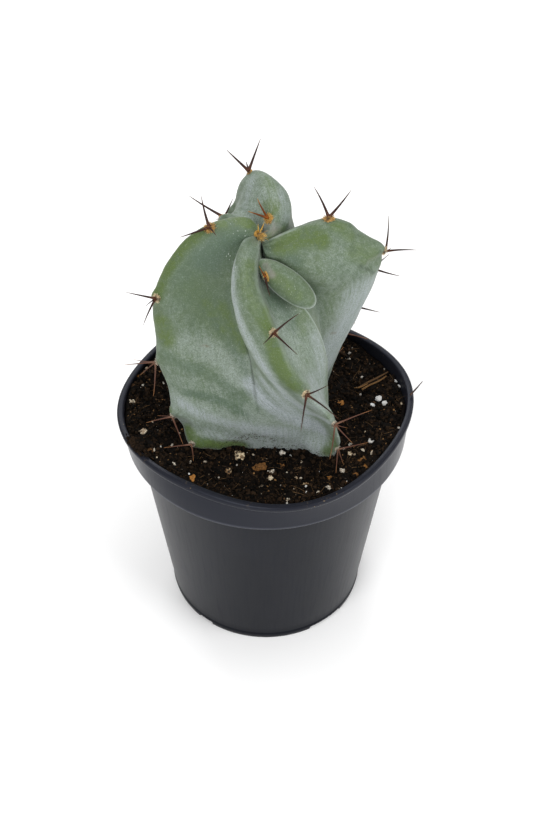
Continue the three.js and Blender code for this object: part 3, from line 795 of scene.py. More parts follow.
def nursery_pot():
    pot = linked("pot_moulding", mesh_of(spun(pot_profile(), POT_STEPS), "pot_moulding"))
    cutters = []
    through_floor = (SLOT_INNER_RADIUS, SLOT_OUTER_RADIUS, SLOT_TOP)
    through_foot = (SLOT_OUTER_RADIUS - 1.5, FOOT_RADIUS + 3, SLOT_NOTCH_TOP)
    for bearing, width in SLOTS:
        cutters.append(slot_cutter(bearing, width, *through_floor))
        cutters.append(slot_cutter(bearing, width, *through_foot))
    for cutter in cutters:
        cut = pot.modifiers.new("slot", "BOOLEAN")
        cut.operation = "DIFFERENCE"
        cut.solver = "EXACT"
        cut.object = cutter
    pot.data = with_modifiers(pot)
    for cutter in cutters:
        bpy.data.objects.remove(cutter)
    pot.data.shade_smooth()
    pot.data.set_sharp_from_angle(angle=POT_SHARP_ANGLE)
    co = corners(pot.data)
    lip = eased(co[:, 2], (POT_HEIGHT - 2.6) * MM, (POT_HEIGHT - 1.6) * MM)
    patches = eased(ripple(co, 14 * MM, 3), 0.0, 0.35)
    mark(pot.data, "dust", lip * patches)
    up = co[:, 2] / MM - (POT_HEIGHT - COLLAR_HEIGHT)
    outer = eased(np.linalg.norm(co[:, :2], axis=1) / MM, RIM_RADIUS - 3.5, RIM_RADIUS - 2.5)
    # A painted highlight line round the collar's lower edge
    mark(pot.data, "line", outer * (1 - eased(np.abs(up - 0.35), 0.3, 0.65)))
    # Below the collar: a darker colour there, which leaves the collar with a painted sheen
    mark(pot.data, "wall", 1 - eased(up, -1, 0))
    pot.data.materials.clear()
    pot.data.materials.append(pot_plastic())
    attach(pot, "root")
    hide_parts("nursery_pot")


# Stem

def curve(points, places, closed=False):
    """A smooth curve through points (..., count, 3), read at places from 0 to count - 1."""
    count = points.shape[-2]
    if closed:
        padded = np.concatenate([points[..., -1:, :], points, points[..., :2, :]], axis=-2)
    else:
        first = 2 * points[..., :1, :] - points[..., 1:2, :]
        last = 2 * points[..., -1:, :] - points[..., -2:-1, :]
        padded = np.concatenate([first, points, last], axis=-2)
    spans = count if closed else count - 1
    at = np.clip(np.floor(places).astype(int), 0, spans - 1)
    share = (places - at)[:, None]
    p0, p1, p2, p3 = (padded[..., at + k, :] for k in range(4))
    d0, d1, d2 = (np.maximum(np.linalg.norm(b - a, axis=-1, keepdims=True), 1e-6) ** 0.5
                  for a, b in ((p0, p1), (p1, p2), (p2, p3)))
    leave = ((p1 - p0) / d0 - (p2 - p0) / (d0 + d1) + (p2 - p1) / d1) * d1
    arrive = ((p2 - p1) / d1 - (p3 - p1) / (d1 + d2) + (p3 - p2) / d2) * d1
    square, cube = share ** 2, share ** 3
    return (p1 + leave * share + (3 * p2 - 3 * p1 - 2 * leave - arrive) * square
            + (2 * p1 - 2 * p2 + leave + arrive) * cube)


def behind_picture(row, crest):
    """A point in millimetres on the sight line of a pixel, so far behind a crest point."""
    u, v, behind = row
    line = np.array(sight_line(u, v))
    eye = np.array(CAMERA_PLACE) / MM
    ahead = np.array(sight_line(PICTURE_WIDTH / 2, PICTURE_HEIGHT / 2))
    depth = (np.array(crest) - eye) @ ahead + behind
    return eye + line * depth / (line @ ahead)


def unit(vectors):
    return vectors / np.maximum(np.linalg.norm(vectors, axis=-1, keepdims=True), 1e-9)


def lengthwise(points, stations):
    return curve(np.array(points, float), stations * (len(points) - 1))


def beside(groove, flank):
    """The points that round a groove's floor, a little way up its side."""
    rise = flank - groove
    return groove + 0.9 * unit(rise) * np.minimum(1, np.linalg.norm(rise, axis=1) / 2.5)[:, None]


# Places on the outline of one rib: groove, groove's side, flank, shoulder, crest, shoulder, flank and
# groove's side, and the number of steps from each to the next
RIB_STEPS = (2, 9, 9, 8, 8, 9, 9, 2)
GAPS = {"crest_gap": (4,), "groove_gap": (0,), "edge_gap": (3, 5)}
FAR_GAP = 30
# A rib is drawn in where it stands less high or less wide than this, and its shoulders lie this share of
# its half thickness under the crest
FULL_RIB_HEIGHT = 9
FULL_RIB_SPAN = 14
SHOULDER_DROP = 0.75
# Swells of the skin: how high they are, how long each lump is, and their seed
SWELLS = ((0.25, 13, 1), (0.09, 4, 2))


def stem_grid():
    """The ribbed surface as rings of points in millimetres, with the rib that each point is on and the
    gaps from it to the nearest crest, groove and edge."""
    stations = np.linspace(0, 1, STEM_STATIONS)
    names = [name for name, *_ in RIBS]
    front_crest = RIBS[names.index("front")][3]
    grooves = [lengthwise(points, stations) for points in GROOVES]
    front_left, front_right, front_groove = (
        lengthwise([behind_picture(row, crest) for row, crest in zip(rows, front_crest)], stations)
        for rows in (FRONT_LEFT_EDGE, FRONT_RIGHT_EDGE, FRONT_GROOVE)
    )
    grooves[names.index("young")] = front_groove
    outline = []
    for index, (name, left, right, points) in enumerate(RIBS):
        crest = lengthwise(points, stations)
        before, after = grooves[index], grooves[(index + 1) % len(RIBS)]
        out = crest - (before + after) / 2
        height = np.linalg.norm(out, axis=1)
        out = unit(out)
        across = after - before
        span = np.linalg.norm(across, axis=1)
        across = unit(across - (across * out).sum(1)[:, None] * out)
        room = np.minimum(1, np.minimum(height / FULL_RIB_HEIGHT, span / FULL_RIB_SPAN))
        left = ((left[0] + (left[1] - left[0]) * stations) * room)[:, None]
        right = ((right[0] + (right[1] - right[0]) * stations) * room)[:, None]
        left_shoulder = crest - SHOULDER_DROP * left * out - left * across
        right_shoulder = crest - SHOULDER_DROP * right * out + right * across
        if name == "front":
            left_shoulder, right_shoulder = front_left, front_right
        left_flank = (before + left_shoulder) / 2
        right_flank = (after + right_shoulder) / 2
        if name == "right":
            given = [behind_picture(row, crest_point) for row, crest_point in zip(RIGHT_FLANK, points)]
            rows = np.round(np.linspace(0, 1, len(points)) * (len(stations) - 1)).astype(int)
            left_flank = lengthwise(np.concatenate([given, left_flank[rows][len(given):]]), stations)
        outline += [before, beside(before, left_flank), left_flank, left_shoulder]
        outline += [crest, right_shoulder, right_flank, beside(after, right_flank)]
    places, on_rib = [], []
    for index in range(len(RIBS)):
        for corner, steps in enumerate(RIB_STEPS):
            start = index * len(RIB_STEPS) + corner
            places += [start + k / steps for k in range(steps)]
            on_rib += [index] * steps
    places = np.array(places)
    rings = curve(np.stack(outline, axis=1), places, closed=True)
    lengths = np.linalg.norm(np.roll(rings, -1, axis=1) - rings, axis=2)
    run = np.concatenate([np.zeros((len(rings), 1)), np.cumsum(lengths, axis=1)], axis=1)
    total = run[:, -1:]
    run = run[:, :-1]
    gaps = {}
    for name, corners_at in GAPS.items():
        gaps[name] = np.full(run.shape, float(FAR_GAP))
        for start in range(0, len(outline), len(RIB_STEPS)):
            for corner in corners_at:
                column = int(np.argmin(np.abs(places - (start + corner))))
                away = np.abs(run - run[:, column:column + 1])
                gaps[name] = np.minimum(gaps[name], np.minimum(away, total - away))
    return rings, np.array(on_rib), gaps, stations


def stem_surface():
    """The stem's skin, with the bean grown into it."""
    rings, on_rib, gaps, stations = stem_grid()
    rows, columns = rings.shape[:2]
    top = rings[0].mean(0) - np.array([0, 0, 1.0])
    end = rings[-1].mean(0)
    co = np.concatenate([rings.reshape(-1, 3), [top, end]])
    faces = []
    for row in range(rows - 1):
        for column in range(columns):
            nxt = (column + 1) % columns
            a, b = row * columns + column, row * columns + nxt
            faces.append((a, a + columns, b + columns, b))
    last = (rows - 1) * columns
    for column in range(columns):
        nxt = (column + 1) % columns
        faces.append((rows * columns, column, nxt))
        faces.append((rows * columns + 1, last + nxt, last + column))
    mesh = bpy.data.meshes.new("stem_skin")
    mesh.from_pydata((co * MM).tolist(), [], faces)
    set_corners(mesh, rounded(mesh, 3))
    for name, gap in gaps.items():
        mark(mesh, name, np.append(gap.ravel(), [0, 0]))
    mark(mesh, "rib", np.append(np.tile(on_rib, rows), [0, 0]))
    mark(mesh, "station", np.append(np.repeat(stations, columns), [0, 1]))
    mark(mesh, "bean", np.zeros(len(co)))
    bm = bmesh.new()
    bm.from_mesh(mesh)
    bmesh.ops.recalc_face_normals(bm, faces=bm.faces[:])
    bm.to_mesh(mesh)
    bm.free()
    stem = linked("stem_skin", mesh)
    growth = bean()
    union = stem.modifiers.new("bean", "BOOLEAN")
    union.operation = "UNION"
    union.solver = "MANIFOLD"
    union.object = growth
    mesh = stem.data = with_modifiers(stem)
    bpy.data.objects.remove(growth)
    co = corners(mesh)
    normals = corner_normals(mesh)
    swell = sum(height * ripple(co, length * MM, seed) for height, length, seed in SWELLS)
    set_corners(mesh, nudged(co + normals * swell[:, None] * MM, surface_tree(stem)))
    mesh.shade_smooth()
    return stem


def bean():
    """The bean, with its underside drawn down into the stem."""
    along = Vector(BEAN_AXIS).normalized()
    out = -sight_line(PICTURE_WIDTH / 2, PICTURE_HEIGHT / 2)
    out = (out - along * out.dot(along)).normalized()
    turn = Matrix((along, out.cross(along), out)).transposed()
    bm = bmesh.new()
    bmesh.ops.create_uvsphere(bm, u_segments=96, v_segments=56, radius=1)
    rim = [1 - abs(v.co.z) for v in bm.verts]
    long, wide, high = BEAN_HALF_SIZE
    for v in bm.verts:
        x, y, z = v.co
        taper = 1 + 0.1 * x
        deep = high if z > 0 else BEAN_ROOT
        v.co = turn @ Vector((x * long, y * wide * taper, z * deep)) * MM + BEAN_CENTRE
    mesh = mesh_of(bm, "bean")
    # The mark rises to the bean's rim, which the skin paints pale: partly bloom, partly painted highlight
    mark(mesh, "bean", 0.25 + 0.75 * np.array(rim))
    for name in GAPS:
        mark(mesh, name, np.full(len(rim), float(FAR_GAP)))
    return linked("bean", mesh)


def seen_points(tree, pixels):
    """Where the sight lines through these pixels of the picture first meet a surface."""
    hits = []
    for u, v in pixels:
        place, _, _, _ = tree.ray_cast(CAMERA_PLACE, sight_line(u, v))
        if place is not None:
            hits.append(np.array(place))
    return hits


def nearness(co, points, radius, core=0.0):
    """1 along a path of points and 0 beyond the radius."""
    gap = np.full(len(co), 1e9)
    for start, end in zip(points, points[1:] or points):
        step = end - start
        share = np.clip((co - start) @ step / max(step @ step, 1e-12), 0, 1)
        gap = np.minimum(gap, np.linalg.norm(co - start - share[:, None] * step, axis=1))
    return 1 - eased(gap, core, radius)


# Marks on the stem, each as the pixels of the picture that it runs through, its half width in
# millimetres and its strength
FRESH_PATHS = [
    ([(250, 266), (249, 286), (256, 306), (266, 322), (272, 334)], 4.0, 0.52),
    ([(266, 312), (270, 326)], 3.0, 0.8),
    ([(274, 344), (279, 362), (287, 378), (297, 389), (305, 393)], 3.8, 0.85),
    ([(276, 362), (284, 374)], 1.6, 1.3),
    ([(282, 247), (296, 241), (312, 237), (320, 240)], 4.2, 0.95),
    ([(154, 296), (158, 284), (166, 268), (176, 254)], 3.6, 0.95),
    ([(176, 254), (190, 240), (204, 230)], 3.4, 0.5),
    ([(158, 306), (158, 322), (160, 334)], 3.0, 0.35),
    ([(161, 323), (164, 331), (166, 339)], 4.2, 0.9),
    ([(161, 286), (164, 276), (170, 262)], 4.0, 0.3),
    ([(206, 302), (213, 316), (224, 331)], 2.6, 0.45),
    ([(196, 290), (206, 312), (222, 334)], 9.0, 0.22),
    ([(220, 224), (236, 222)], 4.0, 0.3),
    ([(208, 224), (222, 220), (238, 219), (250, 222)], 3.4, 0.85),
    ([(222, 306), (228, 320), (236, 336), (244, 350)], 2.8, 0.5),
    ([(263, 180), (272, 186), (274, 198)], 2.6, 0.45),
    ([(268, 204), (270, 212), (276, 206)], 2.6, 0.75),
    ([(268, 237), (276, 233), (284, 229)], 1.8, 0.6),
    ([(336, 226), (344, 231), (350, 236)], 3.0, 0.4),
    ([(272, 276), (284, 284), (296, 295)], 2.6, 0.45),
    ([(189, 432), (194, 440), (198, 447)], 4.0, 1.0),
    ([(206, 444), (222, 446), (240, 445)], 3.0, 0.9),
    ([(330, 434), (334, 444), (327, 452)], 3.2, 1.0),
    ([(321, 405), (330, 418)], 2.2, 0.4),
    ([(300, 320), (303, 332)], 2.4, 0.35),
    ([(354, 252), (364, 258), (374, 256)], 3.4, 0.45),
    ([(166, 396), (170, 410)], 2.0, 0.6),
]
# Partly darker skin, partly painted shade: under the left rib's crest, round the bean and by the soil
DEEP_GREEN_AND_SHADE_PATHS = [
    ([(200, 296), (206, 310), (214, 322), (226, 340)], 1.8, 0.8),
    ([(222, 306), (228, 320), (236, 336), (244, 350)], 2.0, 0.9),
    ([(186, 393), (206, 396), (226, 403), (250, 417)], 2.4, 0.75),
    ([(212, 376), (226, 384), (236, 394)], 2.4, 0.4),
    ([(204, 443), (222, 446), (244, 445)], 3.4, 1.0),
    ([(232, 236), (218, 248), (206, 262)], 8.0, 1.0),
    ([(196, 284), (206, 300)], 11.0, 0.6),
    ([(166, 356), (182, 364), (204, 371)], 3.0, 0.4),
    ([(268, 250), (284, 254), (298, 262)], 2.6, 0.8),
    ([(296, 272), (312, 288), (320, 306)], 4.0, 0.3),
    ([(272, 300), (282, 312), (292, 322)], 4.0, 0.8),
    ([(230, 344), (241, 362), (246, 380)], 2.6, 0.8),
    ([(244, 394), (236, 406), (250, 414)], 3.4, 0.5),
    ([(228, 288), (230, 316), (238, 340)], 2.4, 0.5),
]
# Some strokes along the front band's left edge are a painted highlight over the shade of the groove there
BLOOM_AND_HIGHLIGHT_PATHS = [
    ([(256, 184), (262, 200), (254, 212)], 9.0, 0.48),
    ([(282, 190), (288, 212)], 4.0, 0.3),
    ([(250, 420), (290, 430), (318, 436)], 6.0, 0.4),
    ([(306, 396), (322, 412)], 5.0, 0.45),
    ([(226, 221), (246, 221)], 2.4, 0.3),
    ([(184, 346), (204, 348), (224, 353), (236, 366)], 7.0, 0.38),
    ([(212, 352), (224, 360), (237, 376)], 6.0, 0.58),
    ([(170, 372), (184, 382), (206, 386)], 4.0, 0.1),
    ([(176, 400), (206, 414), (244, 426)], 5.0, 0.48),
    ([(259, 374), (266, 384), (278, 397), (294, 411), (314, 421)], 2.4, 0.7),
    ([(234, 270), (234, 300), (242, 328), (256, 352)], 2.2, 0.66),
    ([(256, 352), (270, 376), (288, 397), (306, 411), (328, 421)], 2.6, 0.6),
    ([(328, 366), (336, 344), (346, 326), (356, 308), (364, 292)], 10.0, 0.5),
    ([(312, 328), (319, 350), (323, 376), (325, 402)], 4.4, 0.36),
    ([(247, 262), (249, 284), (254, 304)], 5.0, 0.16),
    ([(286, 322), (297, 340), (307, 362), (315, 384)], 7.0, 0.3),
    ([(318, 262), (336, 262), (354, 264)], 8.0, 0.1),
    ([(284, 184), (290, 200), (293, 218)], 1.8, 0.8),
    ([(256, 216), (262, 204), (265, 186)], 1.5, 0.5),
    ([(238, 204), (243, 192), (250, 178)], 1.4, 0.6),
    ([(280, 196), (284, 214)], 3.4, 0.3),
]
# The narrow strokes along the front band's left edge are a painted highlight
LAVENDER_AND_HIGHLIGHT_PATHS = [
    ([(246, 428), (266, 432), (290, 434)], 4.5, 0.8),
    ([(252, 384), (266, 402), (290, 418), (322, 430)], 4.0, 0.95),
    ([(258, 358), (270, 376), (288, 398), (308, 413), (328, 422)], 1.8, 0.7),
    ([(234, 262), (233, 284), (236, 308), (245, 334), (256, 354)], 1.5, 0.6),
    ([(262, 380), (268, 388), (279, 400), (295, 413), (314, 422)], 1.8, 0.6),
    ([(180, 402), (204, 416), (236, 426)], 2.6, 0.6),
    ([(328, 366), (336, 344), (346, 326), (356, 308), (364, 292)], 10.0, 0.6),
    ([(280, 194), (286, 214)], 3.0, 0.35),
    ([(252, 180), (248, 194), (244, 206)], 2.0, 0.3),
    ([(316, 338), (322, 362), (324, 400)], 3.6, 0.42),
    ([(312, 382), (320, 400)], 5.0, 0.5),
]
# Painted shade: dark lines in the narrowest creases and gaps between ribs
CREASE_SHADE_PATHS = [
    ([(246, 346), (250.5, 361), (252.5, 374), (254, 384)], 0.8, 0.9),
    ([(254, 386), (256, 398)], 0.7, 0.6),
    ([(256, 398), (259, 412)], 0.7, 0.3),
    ([(360, 266), (367, 269), (374, 273)], 0.6, 0.8),
    ([(262.5, 226), (263.5, 233), (262.5, 240)], 0.7, 1.0),
]
# Pale lines on rib edges: partly bloom, partly a painted highlight
PALE_EDGE_AND_HIGHLIGHT_PATHS = [
    ([(247, 344), (256, 362), (267, 377), (285, 393), (306, 409)], 0.5, 0.9),
    ([(214, 225), (226, 222), (240, 222)], 3.0, 0.16),
    ([(262, 243), (280, 235), (296, 228.5)], 0.5, 0.8),
]
SCAR_PATHS = [
    ([(203, 346), (208, 346)], 0.5, 0.6),
    ([(331, 333), (336, 333)], 0.45, 0.6),
]
SPECK_PATHS = [
    ([(238, 226), (246, 232)], 3.5, 1.0),
    ([(228, 258), (234, 268)], 2.5, 1.0),
    ([(272, 250), (284, 249)], 2.4, 1.0),
    ([(196, 352), (226, 360)], 9.0, 0.4),
    ([(282, 276), (296, 292)], 3.0, 0.45),
    ([(264, 262), (270, 272)], 1.6, 1.0),
    ([(290, 308), (300, 314)], 2.4, 0.8),
]
BLUSH_PATHS = [
    ([(268, 228), (276, 230)], 3.0, 0.4),
    ([(266, 265), (272, 275)], 1.6, 0.4),
]
DIRT_PATHS = [
    ([(236, 440), (254, 436), (272, 440)], 3.5, 1.0),
    ([(214, 442), (236, 442)], 2.5, 0.7),
    ([(274, 440), (300, 445), (318, 452)], 2.0, 0.6),
]
STREAK_PATHS = [
    ([(248, 182), (250, 198), (244, 214)], 8.0, 0.8),
    ([(268, 184), (278, 196), (284, 214)], 7.0, 0.8),
    ([(292, 330), (304, 356), (316, 384)], 6.0, 0.9),
    ([(330, 316), (348, 292), (364, 276)], 8.0, 0.7),
    ([(322, 344), (336, 330)], 5.0, 0.7),
    ([(180, 390), (210, 404), (240, 416)], 9.0, 0.7),
]


def painted(co, tree, paths):
    """The strongest of the marks at each corner."""
    total = np.zeros(len(co))
    for pixels, width, strength in paths:
        points = seen_points(tree, pixels)
        if points:
            near = nearness(co, points, width * MM * 1.25, width * MM * 0.2)
            total = np.maximum(total, strength * near)
    return total


def nudged(co, tree):
    """The corners moved by the nudges, across the view."""
    across = np.array((1, 0, 0))
    above = np.array((0, math.sin(CAMERA_DOWN), math.cos(CAMERA_DOWN)))
    moved = co.copy()
    for u, v, right, down, reach in NUDGES:
        for hit in seen_points(tree, [(u, v)]):
            pixel = np.linalg.norm(hit - np.array(CAMERA_PLACE)) / FOCAL_PIXELS
            share = nearness(co, [hit], reach * MM * 1.3)
            moved += share[:, None] * (right * across - down * above) * pixel
    return moved


def stem_marks(stem, tree):
    """Works out the skin's fresh green, deep, bloom, mottle and dirt, and its painted shade and
    highlights.
    """
    mesh = stem.data
    co = corners(mesh)
    crest_gap, groove_gap, edge_gap = (marked(mesh, name) for name in GAPS)
    rib = marked(mesh, "rib")
    on_bean = marked(mesh, "bean")
    up = co[:, 2] / MM
    low = 1 - eased(up, 84, 128)
    on_front = (np.abs(rib - 1) < 0.5) * (1 - eased(on_bean, 0, 0.1))
    fresh = painted(co, tree, FRESH_PATHS)
    deep = painted(co, tree, DEEP_GREEN_AND_SHADE_PATHS)
    stripe = (1 - eased(crest_gap, 1.0, 5.0)) * eased(up, 105, 140)
    mark(mesh, "fresh", np.clip(0.25 * stripe * (1 - on_front) + fresh, 0, 1))
    # Painted shade: the grooves take some of the deep colour
    mark(mesh, "deep", np.maximum(deep, 0.3 * (1 - eased(groove_gap, 0, 3))))
    # Pale edges on the front band, the young rib's crest and the bean's rim: partly bloom, partly painted
    # highlight
    ridge = on_front * (1 - eased(edge_gap, 0.2, 1.6)) * eased(up, 128, 142)
    on_young = (np.abs(rib - 2) < 0.5) * (1 - eased(on_bean, 0, 0.1)) * (1 - eased(crest_gap, 0.1, 0.8))
    on_young = on_young * eased(up, 96, 120)
    drawn = painted(co, tree, PALE_EDGE_AND_HIGHLIGHT_PATHS)
    rim = 1.4 * eased(on_bean, 0.7, 0.96)
    mark(mesh, "edge", np.maximum.reduce([0.35 * ridge, 1.1 * on_young, rim, drawn]))
    bloom = 0.34 + 0.38 * low + 0.2 * (1 - eased(groove_gap, 1, 7)) + painted(co, tree, BLOOM_AND_HIGHLIGHT_PATHS)
    mark(mesh, "bloom", bloom - 0.45 * fresh - 0.45 * deep - 0.2 * eased(on_bean, 0, 0.2))
    # Lavender bloom by the soil and in strokes, some of them a painted highlight
    foot = 0.7 * (1 - eased(up, 87, 101)) * (1 - fresh) * (1 - 0.8 * np.clip(deep, 0, 1))
    mark(mesh, "lavender_and_highlight", np.maximum(foot, painted(co, tree, LAVENDER_AND_HIGHLIGHT_PATHS)))
    mark(mesh, "mottle", 0.35 + 0.65 * low)
    mark(mesh, "soiled", np.maximum(1 - eased(up, 86, 91), painted(co, tree, DIRT_PATHS)))
    mark(mesh, "streaked", np.clip(0.25 + painted(co, tree, STREAK_PATHS), 0, 1))
    plain = {"crease_shade": CREASE_SHADE_PATHS, "specks": SPECK_PATHS, "scar": SCAR_PATHS, "blush": BLUSH_PATHS}
    for name, paths in plain.items():
        mark(mesh, name, painted(co, tree, paths))


def surface_tree(piece):
    piece.data.calc_loop_triangles()
    triangles = [tuple(t.vertices) for t in piece.data.loop_triangles]
    return BVHTree.FromPolygons([v.co for v in piece.data.vertices], triangles)


def cactus_stem():
    stem = stem_surface()
    tree = surface_tree(stem)
    stem_marks(stem, tree)
    stem.data.materials.clear()
    stem.data.materials.append(cactus_skin())
    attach(stem, "root")
    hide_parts("cactus_stem")
    return tree


# Spine clusters

def spine_ends(node):
    """The tips of a cluster's spines, and the point that all of them rise from."""
    bm = cleaned_copy(node)
    co = np.array([v.co for v in bm.verts])
    bm.free()
    middle = np.median(co, axis=0)
    tips, lines = [], []
    used = np.zeros(len(co), bool)
    for i in np.argsort(-np.linalg.norm(co - middle, axis=1)):
        close = np.linalg.norm(co - co[i], axis=1) < 0.3 * MM
        if used[i] or close.sum() not in (4, 5) or np.linalg.norm(co[i] - middle) < 2.5 * MM:
            continue
        used |= close
        ring = co[close]
        centre = ring.mean(0)
        normal = np.linalg.svd(ring - centre)[2][2]
        tips.append(centre)
        lines.append(normal / np.linalg.norm(normal))
    if len(tips) > 1:
        spread = sum(np.eye(3) - np.outer(d, d) for d in lines)
        pull = sum((np.eye(3) - np.outer(d, d)) @ p for p, d in zip(tips, lines))
        root = Vector(np.linalg.solve(spread, pull))
    else:
        root = Vector(middle)
    return [Vector(tip) for tip in tips], root


def spine_template():
    """A spine of length 1 and base radius 1: a swollen foot, a long taper and a point."""
    rings = [
        (0.0, 1.15), (0.05, 1.3), (0.12, 1.08), (0.25, 0.92),
        (0.45, 0.74), (0.65, 0.55), (0.84, 0.34), (0.97, 0.15),
    ]
    up = Vector((0, 0, 1))
    return shape_of(tube([circle(radius, 8, up * height) for height, radius in rings], up))


def hair_template():
    """One hair of wool, of length 1: a bent three-sided needle."""
    bm = bmesh.new()
    bmesh.ops.create_cone(bm, cap_ends=True, segments=3, radius1=0.11, radius2=0.03, depth=1)
    bmesh.ops.translate(bm, verts=bm.verts[:], vec=(0, 0, 0.5))
    bmesh.ops.subdivide_edges(bm, edges=upright_edges(bm), cuts=2)
    for v in bm.verts:
        v.co.x += 0.35 * v.co.z ** 2
    bmesh.ops.recalc_face_normals(bm, faces=bm.faces[:])
    return shape_of(bm)


def cushion_template():
    """The felted pad under the hairs, a squashed ball of radius 1."""
    bm = bmesh.new()
    bmesh.ops.create_icosphere(bm, subdivisions=3, radius=1)
    for v in bm.verts:
        v.co *= 1 + 0.16 * noise.noise(v.co * 3.1) + 0.08 * noise.noise(v.co * 8)
    return shape_of(bm)


# Wool and spines by age: the pad's radius and height, the number of hairs, how long they are and how far
# they lean, the finishes, how thick the spines are and how far the pad is stretched lengthwise
AGES = {
    "tip": {"pad": (1.3, 1.0), "hairs": 150, "reach": (1.2, 3.6), "lean": 0.5, "wool": "wool_amber",
            "spine": "spine_gold", "thick": 0.9},
    "new": {"pad": (1.45, 0.7), "hairs": 170, "reach": (0.4, 1.0), "lean": 1.4, "wool": "wool_amber",
            "spine": "spine_amber", "thick": 1.1},
    "bud": {"pad": (0.8, 0.6), "hairs": 110, "reach": (0.3, 0.8), "lean": 1.3, "wool": "wool_amber",
            "spine": ("spine_amber", "spine_dark"), "thick": 1.15, "stretch": 2.1},
    "young": {"pad": (1.55, 0.65), "hairs": 240, "reach": (0.4, 1.2), "lean": 1.5, "wool": "wool_gold",
              "spine": "spine_brown", "thick": 1.0},
    "grown": {"pad": (1.25, 0.5), "hairs": 190, "reach": (0.3, 0.9), "lean": 1.5, "wool": "wool_cream",
              "spine": "spine_brown", "thick": 0.8},
    "old": {"pad": (0.95, 0.4), "hairs": 130, "reach": (0.25, 0.7), "lean": 1.5, "wool": "wool_grey",
            "spine": "spine_rose", "thick": 0.64},
    "slight": {"pad": (1.0, 0.35), "hairs": 110, "reach": (0.2, 0.6), "lean": 1.5, "wool": "wool_gold",
               "spine": "spine_brown", "thick": 1.0},
}


OWN_AGES = {
    "spines_front_1": "tip",
    "spines_young_1": "bud",
    "spines_back_1": "new",
    "spines_back_2": "slight",
}
OLD_BELOW = 126 * MM


def age_of(node):
    if node in OWN_AGES:
        return OWN_AGES[node]
    if node.endswith("_1"):
        return "young"
    return "grown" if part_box(node)[1].z > OLD_BELOW else "old"


def spine_cluster(node, tree, shapes, finishes):
    """Rebuilds one cluster: pad, hairs and round spines, where the CAD cluster has them."""
    age = AGES[age_of(node)]
    rng = random.Random(node)
    tips, middle = spine_ends(node)
    tips.sort(key=lambda tip: -tip.z)
    seat, out, _, _ = tree.find_nearest(middle)
    if node in SEATS:
        seat, out, _, _ = tree.ray_cast(CAMERA_PLACE, sight_line(*SEATS[node]))
    shift = seat + out * 0.6 * MM - middle
    middle = middle + shift
    radius, height = (size * MM for size in age["pad"])
    along = tips[0] - tips[-1] if len(tips) > 1 else Vector((0, 0, 1))
    along = (along - out * along.dot(out)).normalized()
    turn = np.array(Matrix((along, out.cross(along), out)).transposed())
    stretch = age.get("stretch", 1)
    parts, faces, marks, slots = [], [], {"along": [], "tint": [], "socket": []}, []
    axes = [(tip + shift - middle).normalized() for tip in tips]

    def add(co, shape_faces, slot, along, tint):
        start = sum(len(part) for part in parts)
        parts.append(co)
        faces.extend(tuple(start + k for k in face) for face in shape_faces)
        slots.extend([slot] * len(shape_faces))
        marks["along"].append(along)
        marks["tint"].append(np.full(len(co), tint))
        gap = np.full(len(co), 1.0)
        for axis in axes:
            off = co - np.array(middle)
            off -= np.outer(off @ np.array(axis), np.array(axis))
            gap = np.minimum(gap, np.linalg.norm(off, axis=1) / MM)
        marks["socket"].append(1 - eased(gap, 0.36, 0.66))

    pad_co, pad_faces = shapes["pad"]
    pad = (pad_co * np.array([radius * stretch, radius, height])) @ turn.T + np.array(seat)
    add(pad, pad_faces, 0, np.full(len(pad), 0.3), 0.5)
    hair_co, hair_faces = shapes["hair"]
    for _ in range(age["hairs"]):
        bearing = rng.uniform(0, TURN)
        lean = age["lean"] * rng.random() ** 0.6
        flat = math.sin(lean)
        away = Vector((math.cos(bearing) * flat, math.sin(bearing) * flat, math.cos(lean)))
        foot = Vector((away.x * radius * stretch * 0.9, away.y * radius * 0.9, away.z * height * 0.8))
        stray = Vector((rng.gauss(0, 0.3), rng.gauss(0, 0.3), rng.gauss(0.15, 0.2)))
        pull = (away + stray).normalized()
        length = rng.uniform(*age["reach"]) * MM
        spin = Vector((0, 0, 1)).rotation_difference(pull) @ Quaternion((0, 0, 1), rng.uniform(0, TURN))
        hair = hair_co * np.array([HAIR_WIDTH, HAIR_WIDTH, length])
        hair = hair @ np.array(spin.to_matrix()).T + np.array(foot)
        add(hair @ turn.T + np.array(seat), hair_faces, 0, hair_co[:, 2], rng.random())
    spine_co, spine_faces = shapes["spine"]
    spines = age["spine"] if isinstance(age["spine"], tuple) else (age["spine"],)
    for order, tip in enumerate(tips):
        step = tip + shift - middle
        length = step.length
        thick = SPINE_RADIUS * age["thick"] * min(max(length / FULL_SPINE_LENGTH, 0.62), 1.12)
        spin = Vector((0, 0, 1)).rotation_difference(step) @ Quaternion((0, 0, 1), rng.uniform(0, TURN))
        shape = spine_co * np.array([thick, thick, length])
        bend = rng.uniform(-0.035, 0.035) * length
        shape[:, 0] += bend * spine_co[:, 2] * (1 - spine_co[:, 2]) * 4
        turned = shape @ np.array(spin.to_matrix()).T + np.array(middle)
        add(turned, spine_faces, 1 + min(order, len(spines) - 1), spine_co[:, 2], rng.random())
    mesh = bpy.data.meshes.new(node)
    mesh.from_pydata(np.concatenate(parts).tolist(), [], faces)
    for name, values in marks.items():
        mark(mesh, name, np.concatenate(values))
    for name in (age["wool"], *spines):
        mesh.materials.append(finishes[name])
    mesh.polygons.foreach_set("material_index", slots)
    mesh.shade_smooth()
    piece = linked(node.replace("spines_", "areole_"), mesh)
    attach(piece, "root")
    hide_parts(node)


